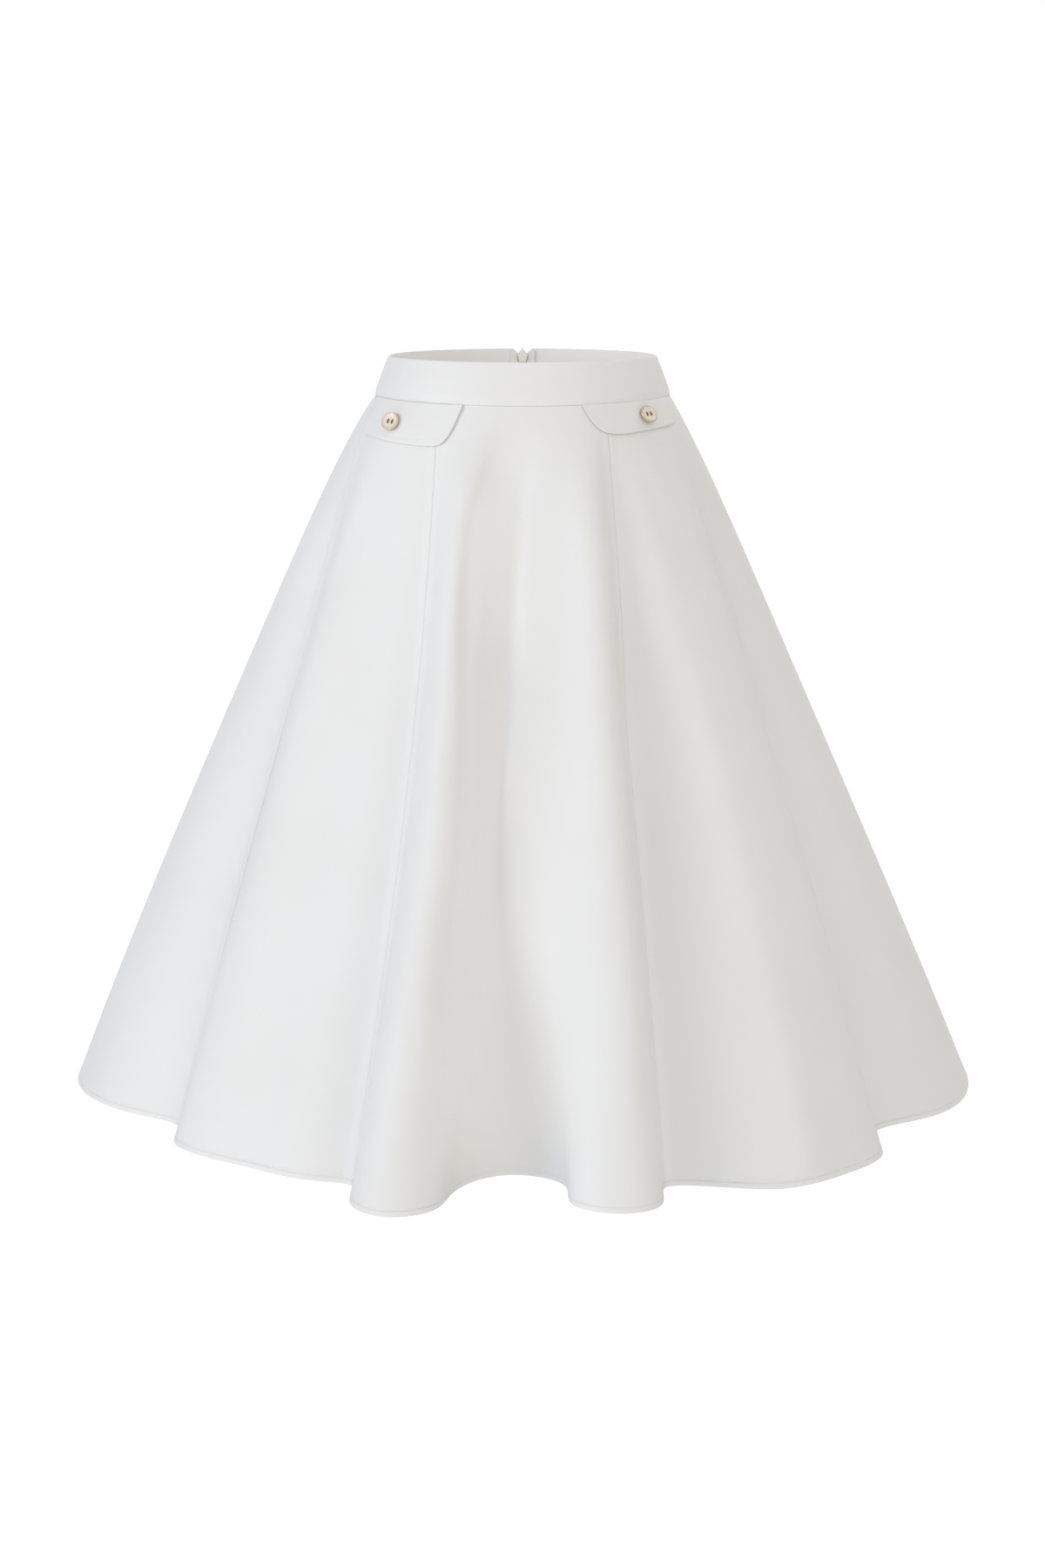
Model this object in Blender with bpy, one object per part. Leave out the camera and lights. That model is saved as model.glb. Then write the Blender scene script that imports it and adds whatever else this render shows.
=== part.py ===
# Flared midi skirt, hollow as when worn: a contoured waistband over five flared panels, with two
# buttoned pocket flaps in front and a concealed zip in the centre back.
# Metres, +Z up. The front faces -Y. The origin is the centre of the waist, half way up the band.

import math

import bmesh
import bpy
import numpy as np
from mathutils import Matrix, Vector

# Waistband: half width and half depth of its oval, at its top edge and at the seam below it
TOP_HALF_WIDTH = 0.125
TOP_HALF_DEPTH = 0.094
SEAM_HALF_WIDTH = 0.139
SEAM_HALF_DEPTH = 0.105
BAND_HEIGHT = 0.039
BAND_HEIGHT_AT_SIDES = 0.0365
BAND_TOP_Z = 0.020

# Panels: the level hem, and how far the cloth swings out over the hip before it falls straight
HEM_Z = -0.692
PANEL_DROP = BAND_TOP_Z - BAND_HEIGHT - HEM_Z
HIP_EASE_LEFT = 0.0155
HIP_EASE_RIGHT = 0.0095
HIP_EASE_FRONT_AND_BACK = 0.011
HIP_EASE_LENGTH = 0.08
EXTRA_FLARE_ACROSS = 0.6
EXTRA_FLARE_DEEP = 0.25
FRONT_SWAY = 0.006

# Folds: they stand off an oval of this size at the hem, and grow faster than the skirt flares. Their
# half-way form gives way to the hem's form below the lean level.
HEM_OVAL_HALF_WIDTH = 0.436
HEM_OVAL_HALF_DEPTH = 0.375
FOLD_POWER = 0.9
FOLD_START = 0.06
LEAN_LEVEL = 0.45

# Cloth walls, measured from the panels' outer face
CLOTH = 0.0015
BAND_OUTER = 0.0015
BAND_INNER = -0.0013
SEAM_GAP = 0.0003

# The hem seen from above, one row for each fold or turn of the cloth, once round from the left side.
# Degrees go round from the front centre towards +X; the radius is from the origin's vertical.
HEM_ROWS = [
    # name, degrees round, radius in millimetres
    ("left_side_crest", -91.0, 441),
    ("left_side_slope", -72.5, 383),
    ("left_side_seam", -64.4, 358),
    ("left_wide_edge", -59.0, 378),
    ("left_wide_turn", -52.5, 380),
    ("left_wide_face", -42.0, 367),
    ("left_wide_end", -31.5, 360),
    ("left_front_seam", -25.3, 356),
    ("left_fold_edge", -22.8, 392),
    ("left_fold_crest", -16.4, 421),
    ("left_fold_turn", -11.6, 398),
    ("left_fold_end", -10.2, 346),
    ("front_hollow", -1.8, 292),
    ("right_fold_start", 6.6, 322),
    ("right_fold_edge", 6.7, 374),
    ("right_fold_crest", 11.9, 404),
    ("right_fold_turn", 18.0, 393),
    ("right_front_seam", 21.4, 350),
    ("right_wide_start", 28.8, 372),
    ("right_wide_face", 36.5, 405),
    ("right_wide_turn", 46.0, 410),
    ("right_wide_edge", 55.5, 402),
    ("right_side_seam", 62.6, 371),
    ("right_side_slope", 71.5, 401),
    ("right_side_crest", 90.0, 441),
    ("right_side_back", 100.0, 434),
    ("right_back_hollow", 111.0, 366),
    ("right_back_rise", 120.0, 389),
    ("right_back_crest", 129.0, 424),
    ("right_back_fall", 138.0, 395),
    ("right_rear_hollow", 146.0, 346),
    ("right_rear_rise", 153.5, 381),
    ("right_rear_crest", 161.0, 425),
    ("right_rear_fall", 170.5, 396),
    ("centre_back_seam", 180.0, 352),
    ("left_rear_rise", 189.0, 389),
    ("left_rear_crest", 198.5, 421),
    ("left_rear_fall", 207.0, 383),
    ("left_rear_hollow", 215.0, 340),
    ("left_back_rise", 223.0, 389),
    ("left_back_crest", 231.5, 429),
    ("left_back_fall", 240.5, 400),
    ("left_back_hollow", 249.0, 362),
    ("left_side_back", 260.0, 431),
]

# The front's folds half way down, where they lean more than at the hem, as if carried down to it so
HALF_WAY_ROWS = {
    # name: degrees round, radius in millimetres
    "left_fold_turn": (-11.8, 398),
    "left_fold_end": (-12.9, 368),
    "front_hollow": (-10.8, 336),
    "right_fold_start": (-4.0, 342),
    "right_fold_edge": (4.6, 371),
    "right_wide_turn": (47.5, 420),
    "right_wide_edge": (56.5, 413),
}

# Where each seam that runs down the skirt meets the waist seam, in degrees from the front centre
SEAMS = [
    # hem row, degrees round at the waist
    ("left_side_seam", -73.0),
    ("left_front_seam", -33.0),
    ("right_front_seam", 33.0),
    ("right_side_seam", 74.0),
    ("centre_back_seam", 180.0),
]

# The panels between those seams
PANELS = [
    # name, first seam, last seam
    ("front_panel", "left_front_seam", "right_front_seam"),
    ("side_front_left", "left_side_seam", "left_front_seam"),
    ("side_front_right", "right_front_seam", "right_side_seam"),
    ("back_right", "right_side_seam", "centre_back_seam"),
    ("back_left", "centre_back_seam", "left_side_seam"),
]
PANEL_LEVELS = (0.0, 0.03, 0.075, 0.14, 0.23, 0.35, 0.50, 0.66, 0.83, 1.0)
COLUMNS_PER_ROW = 4

BAND_STEP_DEGREES = 4.0
BAND_LEVELS = (-1.0, -0.55, 0.0)

# Pocket flaps: the bottom edge, from the slanted front end to the side seam
FLAP_ROWS = [
    # degrees round at the waist, drop below the waist seam in millimetres on the left and on the right
    (23.2, 3.0, 3.0),
    (24.8, 13.0, 10.0),
    (26.6, 23.0, 16.5),
    (28.6, 31.0, 21.5),
    (30.8, 36.0, 25.0),
    (33.6, 38.0, 27.0),
    (38.0, 38.5, 28.0),
    (48.0, 38.0, 27.0),
    (60.0, 35.5, 25.5),
    (70.0, 32.5, 23.5),
    (72.8, 31.0, 21.5),
]
FLAP_THICKNESS = 0.0018
FLAP_EDGE_LIFT = 0.0015
FLAP_COLUMNS = 24
FLAP_COLUMN_SPREAD = 1.5
FLAP_LEVELS = 6

# Buttons: sewn to the flaps near the side seams on thread shanks, and turned a little to the front
BUTTON_ROWS = [
    # name, side, degrees round at the waist, drop below the waist seam, degrees turned forwards and up
    ("left", -1, 54.3, 0.0208, 13, 1),
    ("right", 1, 52.3, 0.0143, 5, 9),
]
BUTTON_PROFILE = [
    # radius, height, from the flat back over the raised rim to the dished face
    (0.0058, 0.0),
    (0.0084, 0.0010),
    (0.0084, 0.0026),
    (0.0078, 0.0036),
    (0.0071, 0.0036),
    (0.0063, 0.0029),
]
BUTTON_HOLE_RADIUS = 0.0009
BUTTON_HOLE_X = 0.0022
BUTTON_HOLE_Y = 0.0015
BUTTON_STAND = 0.0016
BUTTON_STEPS = 32

# Concealed zip in the centre back seam
TAPE_WIDTH = 0.012
TAPE_THICKNESS = 0.001
TAPE_ROWS = [
    # height in metres, half gap between the two tapes
    (0.0185, 0.0086),
    (0.0165, 0.0059),
    (0.0120, 0.0051),
    (0.0072, 0.0040),
    (0.0064, 0.0004),
    (-0.0060, 0.0004),
    (-0.0190, 0.0004),
    (-0.0450, 0.0004),
    (-0.0850, 0.0004),
    (-0.1300, 0.0004),
    (-0.1800, 0.0004),
    (-0.2150, 0.0004),
]
BAND_END_ROWS = [
    # height in metres, half gap between the band's two back ends
    (BAND_TOP_Z, 0.0096),
    (0.0190, 0.0084),
    (0.0165, 0.0062),
    (0.0120, 0.0052),
    (0.0072, 0.0041),
    (0.0050, 0.0028),
    (0.0034, SEAM_GAP / 2),
    (-0.0070, SEAM_GAP / 2),
    (BAND_TOP_Z - BAND_HEIGHT, SEAM_GAP / 2),
]

# Slider and pull tab, along the slope of the band at this height
SLIDER_Z = 0.0137
SLIDER_OUTLINE = [
    # across, up
    (-0.0036, -0.0060),
    (0.0036, -0.0060),
    (0.0054, 0.0020),
    (0.0055, 0.0030),
    (0.0012, 0.0062),
    (0.0, 0.0066),
    (-0.0012, 0.0062),
    (-0.0055, 0.0030),
    (-0.0054, 0.0020),
]
SLIDER_INNER = -0.0046
SLIDER_OUTER = 0.0022
HINGE_UP = 0.0016
HINGE_OUT = 0.0043
PIN_RADIUS = 0.0006
EYE_INNER_RADIUS = 0.0009
EYE_OUTER_RADIUS = 0.0017
EYE_HALF_WIDTH = 0.0016
EAR_INSIDE = 0.0019
EAR_OUTSIDE = 0.0027
EAR_RADIUS = 0.0013
EAR_ROOT = 0.0005
TAB_LENGTH = 0.021
TAB_HALF_THICKNESS = 0.0006
TAB_NECK_HALF_WIDTH = 0.0015
TAB_NECK_LENGTH = 0.004
TAB_END_RADIUS = 0.0032
TAB_LEAN = math.radians(5.2)

CLOTH_COLOUR = (0.84, 0.84, 0.83)
LINING_SIDE_COLOUR = (0.80, 0.78, 0.75)
BUTTON_COLOUR = (0.86, 0.76, 0.66)
ZIP_COLOUR = (0.80, 0.79, 0.76)


def clear_scene():
    for obj in list(bpy.data.objects):
        bpy.data.objects.remove(obj)


def material(name, colour, roughness, metallic=0.0):
    made = bpy.data.materials.new(name)
    made.use_nodes = True
    shader = made.node_tree.nodes["Principled BSDF"]
    shader.inputs["Base Color"].default_value = (*colour, 1.0)
    shader.inputs["Roughness"].default_value = roughness
    shader.inputs["Metallic"].default_value = metallic
    return made


# Smooth closed curves

def closed_spline(knots, values):
    """A smooth closed curve through values at the knots; the last knot closes it. Returns a function."""
    knots = np.asarray(knots, float)
    values = np.asarray(values, float)
    count = len(values)
    gaps = np.diff(knots)
    system = np.zeros((count, count))
    right = np.zeros_like(values)
    for i in range(count):
        before, after = gaps[i - 1], gaps[i]
        system[i, i - 1] += before / 6
        system[i, i] += (before + after) / 3
        system[i, (i + 1) % count] += after / 6
        right[i] = (values[(i + 1) % count] - values[i]) / after - (values[i] - values[i - 1]) / before
    bends = np.linalg.solve(system, right)
    values = np.concatenate([values, values[:1]])
    bends = np.concatenate([bends, bends[:1]])
    period = knots[-1] - knots[0]

    def at(place):
        place = np.mod(np.asarray(place, float) - knots[0], period) + knots[0]
        i = np.clip(np.searchsorted(knots, place, side="right") - 1, 0, count - 1)
        gap = gaps[i]
        b = (place - knots[i]) / gap
        a = 1 - b
        if values.ndim > 1:
            a, b, gap = a[..., None], b[..., None], gap[..., None]
        curve = a * values[i] + b * values[i + 1]
        return curve + ((a**3 - a) * bends[i] + (b**3 - b) * bends[i + 1]) * gap**2 / 6

    return at


def plan_point(degrees, radius):
    """A point seen from above, at these degrees round from the front centre."""
    turn = np.radians(degrees)
    return np.stack([np.sin(turn) * radius, -np.cos(turn) * radius], axis=-1)


def hem_curve():
    """The hem from above as a function of its length, the length at each row, and the whole length."""
    points = np.array([plan_point(degrees, radius / 1000) for _, degrees, radius in HEM_ROWS])
    steps = np.linalg.norm(np.roll(points, -1, axis=0) - points, axis=1)
    knots = np.concatenate([[0], np.cumsum(steps)])
    half_way = points.copy()
    for i, row in enumerate(HEM_ROWS):
        if row[0] in HALF_WAY_ROWS:
            degrees, radius = HALF_WAY_ROWS[row[0]]
            half_way[i] = plan_point(degrees, radius / 1000)
    return closed_spline(knots, points), closed_spline(knots, half_way), knots[:-1], knots[-1]


HEM, HALF_WAY, ROW_LENGTHS, HEM_LENGTH = hem_curve()
ROW_AT = {row[0]: ROW_LENGTHS[i] for i, row in enumerate(HEM_ROWS)}


def waist_turn():
    """Degrees round at the waist as a function of hem length, from the places where seams are pinned."""
    lengths = np.array([ROW_AT[name] for name, _ in SEAMS])
    degrees = np.array([degrees for _, degrees in SEAMS])
    drift = degrees - 360 * lengths / HEM_LENGTH
    wave = closed_spline(np.append(lengths, lengths[0] + HEM_LENGTH), drift)
    return lambda place: wave(place) + 360 * np.asarray(place, float) / HEM_LENGTH


WAIST_TURN = waist_turn()


# The skirt's outer face. "place" is metres along the hem and "level" runs from -1 at the band's top edge
# to 0 at the waist seam and 1 at the hem.

def oval_below(hem):
    """The point of the hem's plain oval in the same direction as a point of the hem."""
    reach = np.linalg.norm(hem, axis=-1, keepdims=True)
    across, deep = hem[..., :1] / reach, hem[..., 1:] / reach
    radius = 1 / np.sqrt((across / HEM_OVAL_HALF_WIDTH) ** 2 + (deep / HEM_OVAL_HALF_DEPTH) ** 2)
    return np.concatenate([across * radius, deep * radius], axis=-1)


def face(place, level):
    """Points of the outer face, the waistband's included, before the band's own thickness."""
    place, level = np.broadcast_arrays(np.asarray(place, float), np.asarray(level, float))
    turn = np.radians(WAIST_TURN(place))
    in_band = np.clip(-level, 0, 1)
    down = np.clip(level, 0, None)
    half_width = SEAM_HALF_WIDTH + (TOP_HALF_WIDTH - SEAM_HALF_WIDTH) * in_band
    half_depth = SEAM_HALF_DEPTH + (TOP_HALF_DEPTH - SEAM_HALF_DEPTH) * in_band
    oval = np.stack([np.sin(turn) * half_width, -np.cos(turn) * half_depth], axis=-1)
    outward = np.stack([np.sin(turn), -np.cos(turn)], axis=-1)
    across = np.sin(turn) ** 2
    extra = np.stack([EXTRA_FLARE_ACROSS * (1 - across), EXTRA_FLARE_DEEP * (1 - across)], axis=-1)
    flare = down[..., None] ** (1 + extra)
    side_ease = np.where(np.sin(turn) < 0, HIP_EASE_LEFT, HIP_EASE_RIGHT)
    ease = HIP_EASE_FRONT_AND_BACK + (side_ease - HIP_EASE_FRONT_AND_BACK) * across
    ease = ease * (1 - np.exp(-down / HIP_EASE_LENGTH)) * (1 - down**4)
    hem = HEM(place)
    hem_oval = oval_below(hem)
    grown = down**FOLD_POWER * (1 - np.exp(-((down / FOLD_START) ** 2)))
    late = np.clip((down - LEAN_LEVEL) / (1 - LEAN_LEVEL), 0, 1)
    late = late * late * (3 - 2 * late)
    half_way = HALF_WAY(place)
    fold = half_way - hem_oval + (hem - half_way) * late[..., None]
    plan = oval + (hem_oval - oval) * flare + fold * grown[..., None] + outward * ease[..., None]
    plan[..., 0] += FRONT_SWAY * np.sin(math.pi * np.clip(down, 0, 1)) * np.clip(np.cos(turn), 0, 1) ** 2
    band_height = BAND_HEIGHT + (BAND_HEIGHT_AT_SIDES - BAND_HEIGHT) * across
    seam_z = BAND_TOP_Z - band_height
    height = seam_z + band_height * in_band + (HEM_Z - seam_z) * down
    return np.concatenate([plan, height[..., None]], axis=-1)


def face_slopes(place, level):
    """How the face moves with hem length and with level, each for one unit."""
    place, level = np.broadcast_arrays(np.asarray(place, float), np.asarray(level, float))
    step = 0.0005
    along = (face(place + step, level) - face(place - step, level)) / (2 * step)
    rise = np.where(level < 0.5, 0.002, 0.01)
    down = (face(place, level + rise) - face(place, level - rise)) / (2 * rise[..., None])
    return along, down


def outward_normal(place, level):
    """The direction straight out of the cloth, of length one."""
    along, down = face_slopes(place, level)
    normal = np.cross(down, along)
    return normal / np.linalg.norm(normal, axis=-1, keepdims=True)


def lifted(place, level, lift):
    """Points of the face moved out by lift, or in where it is negative."""
    normal = outward_normal(place, level)
    lift = np.broadcast_to(np.asarray(lift, float), normal.shape[:-1])
    return face(place, level) + normal * lift[..., None]


def level_of_height(height):
    """The level that has this height at the centre back."""
    seam_z = BAND_TOP_Z - BAND_HEIGHT
    below = seam_z - np.asarray(height, float)
    return np.where(below < 0, below / BAND_HEIGHT, below / (seam_z - HEM_Z))


def beside(place, level, distance):
    """The place this far along the cloth from another, at that level."""
    along, _ = face_slopes(place, level)
    return place + distance / np.linalg.norm(along, axis=-1)


def place_of_turn(degrees):
    """The place that meets the waist seam at these degrees round."""
    places = np.linspace(-HEM_LENGTH / 2, HEM_LENGTH * 1.5, 4001)
    return np.interp(degrees, WAIST_TURN(places), places)


# Solids

def wall(name, outer, inner, surface):
    """A closed wall between two grids of points with the same columns and levels."""
    columns, levels = outer.shape[:2]
    mesh = bpy.data.meshes.new(name)
    form = bmesh.new()
    out = [[form.verts.new(outer[i, j]) for j in range(levels)] for i in range(columns)]
    inn = [[form.verts.new(inner[i, j]) for j in range(levels)] for i in range(columns)]
    for i in range(columns - 1):
        for j in range(levels - 1):
            form.faces.new((out[i][j], out[i][j + 1], out[i + 1][j + 1], out[i + 1][j]))
            form.faces.new((inn[i][j], inn[i + 1][j], inn[i + 1][j + 1], inn[i][j + 1]))
    rim = [(i, 0) for i in range(columns)]
    rim += [(columns - 1, j) for j in range(1, levels)]
    rim += [(i, levels - 1) for i in range(columns - 2, -1, -1)]
    rim += [(0, j) for j in range(levels - 2, 0, -1)]
    for (i, j), (k, m) in zip(rim, rim[1:] + rim[:1]):
        form.faces.new((out[i][j], out[k][m], inn[k][m], inn[i][j]))
    bmesh.ops.recalc_face_normals(form, faces=form.faces)
    form.to_mesh(mesh)
    form.free()
    return add_object(name, mesh, surface)


def add_object(name, mesh, surface):
    obj = bpy.data.objects.new(name, mesh)
    bpy.context.scene.collection.objects.link(obj)
    mesh.materials.append(surface)
    mesh.shade_smooth()
    mesh.set_sharp_from_angle(angle=math.radians(40))
    return obj


def seam_places(first, last):
    """Hem lengths of a panel's columns, with the same count between each two rows of the hem table."""
    start, end = ROW_AT[first], ROW_AT[last]
    if end < start:
        end += HEM_LENGTH
    rows = np.concatenate([ROW_LENGTHS, ROW_LENGTHS + HEM_LENGTH])
    rows = rows[(rows > start - 1e-9) & (rows < end + 1e-9)]
    share = np.arange(COLUMNS_PER_ROW) / COLUMNS_PER_ROW
    inside = [rows[:-1, None] + np.diff(rows)[:, None] * share[None]]
    return np.append(np.concatenate(inside).ravel(), end)


def panel(name, first, last, surface):
    """One flared panel from the waist seam to the hem, between two of the seams."""
    places = seam_places(first, last)
    levels = np.array(PANEL_LEVELS)
    place, level = np.meshgrid(places, levels, indexing="ij")
    place[0] = beside(place[0], level[0], SEAM_GAP / 2)
    place[-1] = beside(place[-1], level[-1], -SEAM_GAP / 2)
    _, down = face_slopes(place[:, 0], 0.0)
    level[:, 0] = SEAM_GAP / 2 / np.linalg.norm(down, axis=-1)
    return wall(name, lifted(place, level, 0.0), lifted(place, level, -CLOTH), surface)


def band(name, start, end, surface, notch=0):
    """A stretch of the waistband. notch is 1 or -1 where its first or last end stands at the centre back."""
    count = round((end - start) / BAND_STEP_DEGREES) + 1
    places = place_of_turn(np.linspace(start, end, count))
    levels = np.array(BAND_LEVELS)
    first = last = SEAM_GAP / 2
    if notch:
        heights, gaps = np.array(BAND_END_ROWS).T
        levels = level_of_height(heights)
        first, last = (gaps, last) if notch == 1 else (first, gaps)
    place, level = np.meshgrid(places, levels, indexing="ij")
    place[0] = beside(place[0], level[0], first)
    place[-1] = beside(place[-1], level[-1], -last)
    level[:, -1] = -SEAM_GAP / 2 / BAND_HEIGHT
    return wall(name, lifted(place, level, BAND_OUTER), lifted(place, level, BAND_INNER), surface)


def flap_drop(side, degrees):
    """How far the flap reaches below the waist seam there. side is -1 for the left and 1 for the right."""
    turns, left, right = np.array(FLAP_ROWS).T
    return np.interp(degrees, turns, left if side < 0 else right) / 1000


def flap_lift(share):
    """How far the flap's under side stands off the panel, by the share of the way to its free edge."""
    return SEAM_GAP + FLAP_EDGE_LIFT * share**2


def flap(name, side, surface):
    """A pocket flap that lies on the panels below the band and ends in the side seam."""
    share = np.linspace(0, 1, FLAP_COLUMNS)[:, None] ** FLAP_COLUMN_SPREAD
    degrees = FLAP_ROWS[0][0] + (FLAP_ROWS[-1][0] - FLAP_ROWS[0][0]) * share
    down = np.linspace(0, 1, FLAP_LEVELS)[None]
    drop = SEAM_GAP + (flap_drop(side, degrees) - SEAM_GAP) * down
    place, level = np.broadcast_arrays(place_of_turn(side * degrees), drop / PANEL_DROP)
    lift = flap_lift(down)
    return wall(name, lifted(place, level, lift + FLAP_THICKNESS), lifted(place, level, lift), surface)


def cut(obj, cutter, operation="DIFFERENCE"):
    """Applies a Boolean with cutter, then removes cutter."""
    modifier = obj.modifiers.new(operation.lower(), "BOOLEAN")
    modifier.operation = operation
    modifier.object = cutter
    bpy.context.view_layer.update()
    graph = bpy.context.evaluated_depsgraph_get()
    mesh = bpy.data.meshes.new_from_object(obj.evaluated_get(graph))
    obj.modifiers.clear()
    obj.data = mesh
    bpy.data.objects.remove(cutter)


def rod(name, start, end, radius, steps=12):
    """A straight round rod between two points."""
    start, end = Vector(start), Vector(end)
    form = bmesh.new()
    bmesh.ops.create_cone(
        form, cap_ends=True, segments=steps, radius1=radius, radius2=radius, depth=(end - start).length
    )
    turn = (end - start).to_track_quat("Z", "Y").to_matrix().to_4x4()
    bmesh.ops.transform(form, matrix=Matrix.Translation((start + end) / 2) @ turn, verts=form.verts)
    mesh = bpy.data.meshes.new(name)
    form.to_mesh(mesh)
    form.free()
    obj = bpy.data.objects.new(name, mesh)
    bpy.context.scene.collection.objects.link(obj)
    return obj


def plate(name, outline, low, high, axis="Z"):
    """An outline in two axes, extruded along the third from low to high. axis is Z, or X for up and out."""
    form = bmesh.new()
    if axis == "Z":
        corners = [(across, up, low) for across, up in outline]
        move = (0, 0, high - low)
    else:
        corners = [(low, up, out) for up, out in outline]
        move = (high - low, 0, 0)
    base = form.faces.new([form.verts.new(corner) for corner in corners])
    made = bmesh.ops.extrude_face_region(form, geom=[base])
    moved = [item for item in made["geom"] if isinstance(item, bmesh.types.BMVert)]
    bmesh.ops.translate(form, verts=moved, vec=move)
    bmesh.ops.recalc_face_normals(form, faces=form.faces)
    mesh = bpy.data.meshes.new(name)
    form.to_mesh(mesh)
    form.free()
    obj = bpy.data.objects.new(name, mesh)
    bpy.context.scene.collection.objects.link(obj)
    return obj


def frame_at(place, level, lift):
    """A frame on the face: X along the cloth, Y up it and Z out of it."""
    place = np.array(place, float)
    level = np.array(level, float)
    along, down = face_slopes(place, level)
    out = Vector(outward_normal(place, level))
    up = -Vector(down)
    up = (up - out * up.dot(out)).normalized()
    across = up.cross(out).normalized()
    turn = Matrix((across, up, out)).transposed().to_4x4()
    return Matrix.Translation(Vector(lifted(place, level, lift))) @ turn


def button(name, side, degrees, drop, forwards, upwards, surface):
    """A round four-hole button with a raised rim, on the flap near the side seam."""
    form = bmesh.new()
    bottom = form.verts.new((0, 0, BUTTON_PROFILE[0][1]))
    top = form.verts.new((0, 0, BUTTON_PROFILE[-1][1]))
    turns = [2 * math.pi * k / BUTTON_STEPS for k in range(BUTTON_STEPS)]
    rings = []
    for radius, height in BUTTON_PROFILE:
        rings.append([form.verts.new((radius * math.cos(a), radius * math.sin(a), height)) for a in turns])
    for k in range(BUTTON_STEPS):
        after = (k + 1) % BUTTON_STEPS
        form.faces.new((bottom, rings[0][after], rings[0][k]))
        form.faces.new((top, rings[-1][k], rings[-1][after]))
        for low, high in zip(rings, rings[1:]):
            form.faces.new((low[k], low[after], high[after], high[k]))
    bmesh.ops.recalc_face_normals(form, faces=form.faces)
    mesh = bpy.data.meshes.new(name)
    form.to_mesh(mesh)
    form.free()
    obj = add_object(name, mesh, surface)
    past = 2 * BUTTON_PROFILE[-1][1]
    for x in (-BUTTON_HOLE_X, BUTTON_HOLE_X):
        for y in (-BUTTON_HOLE_Y, BUTTON_HOLE_Y):
            cut(obj, rod("button_hole", (x, y, -past), (x, y, past), BUTTON_HOLE_RADIUS))
    share = drop / flap_drop(side, degrees)
    tilt = -math.atan(2 * FLAP_EDGE_LIFT * share / flap_drop(side, degrees))
    lift = flap_lift(share) + FLAP_THICKNESS + BUTTON_STAND
    seat = frame_at(place_of_turn(side * degrees), drop / PANEL_DROP, lift)
    turn = Matrix.Rotation(-side * math.radians(forwards), 4, "Y")
    obj.matrix_world = seat @ Matrix.Rotation(tilt - math.radians(upwards), 4, "X") @ turn
    return obj


def zip_tape(name, side, surface):
    """One tape of the zip, inside the band and the back panel on the left (side -1) or right (side 1)."""
    heights = np.array([height for height, _ in TAPE_ROWS])
    gaps = np.array([gap for _, gap in TAPE_ROWS])
    level = level_of_height(heights)
    share = np.linspace(0, 1, 4)[:, None]
    across = gaps[None] + (TAPE_WIDTH - gaps[None]) * share
    level = np.broadcast_to(level[None], across.shape)
    place = beside(np.full(across.shape, ROW_AT["centre_back_seam"]), level, -side * across)
    top = -CLOTH - SEAM_GAP
    outer, inner = lifted(place, level, top), lifted(place, level, top - TAPE_THICKNESS)
    return wall(name, outer, inner, surface)


def zip_slider(surface):
    """The slider's body with two ears and a pin for the tab, between the band's back ends."""
    obj = plate("zip_slider", SLIDER_OUTLINE, SLIDER_INNER, SLIDER_OUTER)
    turns = [math.radians(a) for a in range(-90, 91, 30)]
    round_end = [
        (HINGE_UP - EAR_RADIUS * math.sin(a), HINGE_OUT + EAR_RADIUS * math.cos(a)) for a in turns
    ]
    foot = SLIDER_OUTER - EAR_ROOT
    ear = [(HINGE_UP - EAR_RADIUS, foot), (HINGE_UP + EAR_RADIUS, foot), *round_end]
    for side in (-1, 1):
        low, high = sorted((side * EAR_INSIDE, side * EAR_OUTSIDE))
        cut(obj, plate("ear", ear, low, high, axis="X"), "UNION")
    middle = (EAR_INSIDE + EAR_OUTSIDE) / 2
    pin = rod("pin", (-middle, HINGE_UP, HINGE_OUT), (middle, HINGE_UP, HINGE_OUT), PIN_RADIUS)
    cut(obj, pin, "UNION")
    obj.data.materials.clear()
    obj.data.materials.append(surface)
    obj.matrix_world = frame_at(ROW_AT["centre_back_seam"], level_of_height(SLIDER_Z), 0.0)
    return obj


def zip_pull_tab(surface):
    """The tab that hangs on the slider's pin, with its origin on the pin's axis."""
    end = -TAB_LENGTH + TAB_END_RADIUS
    turns = [math.radians(a) for a in range(-165, -14, 15)]
    outline = [(TAB_END_RADIUS * math.cos(a), end + TAB_END_RADIUS * math.sin(a)) for a in turns]
    outline += [(TAB_NECK_HALF_WIDTH, -TAB_NECK_LENGTH), (TAB_NECK_HALF_WIDTH, 0.0)]
    outline += [(-TAB_NECK_HALF_WIDTH, 0.0), (-TAB_NECK_HALF_WIDTH, -TAB_NECK_LENGTH)]
    obj = plate("zip_pull_tab", outline, -TAB_HALF_THICKNESS, TAB_HALF_THICKNESS)
    eye = rod("eye", (-EYE_HALF_WIDTH, 0, 0), (EYE_HALF_WIDTH, 0, 0), EYE_OUTER_RADIUS, steps=16)
    cut(obj, eye, "UNION")
    past = 2 * EYE_HALF_WIDTH
    cut(obj, rod("bore", (-past, 0, 0), (past, 0, 0), EYE_INNER_RADIUS, steps=16))
    obj.data.materials.clear()
    obj.data.materials.append(surface)
    seat = frame_at(ROW_AT["centre_back_seam"], level_of_height(SLIDER_Z), 0.0)
    pin = Matrix.Translation((0, HINGE_UP, HINGE_OUT))
    obj.matrix_world = seat @ pin @ Matrix.Rotation(TAB_LEAN, 4, "X")
    return obj


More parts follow.
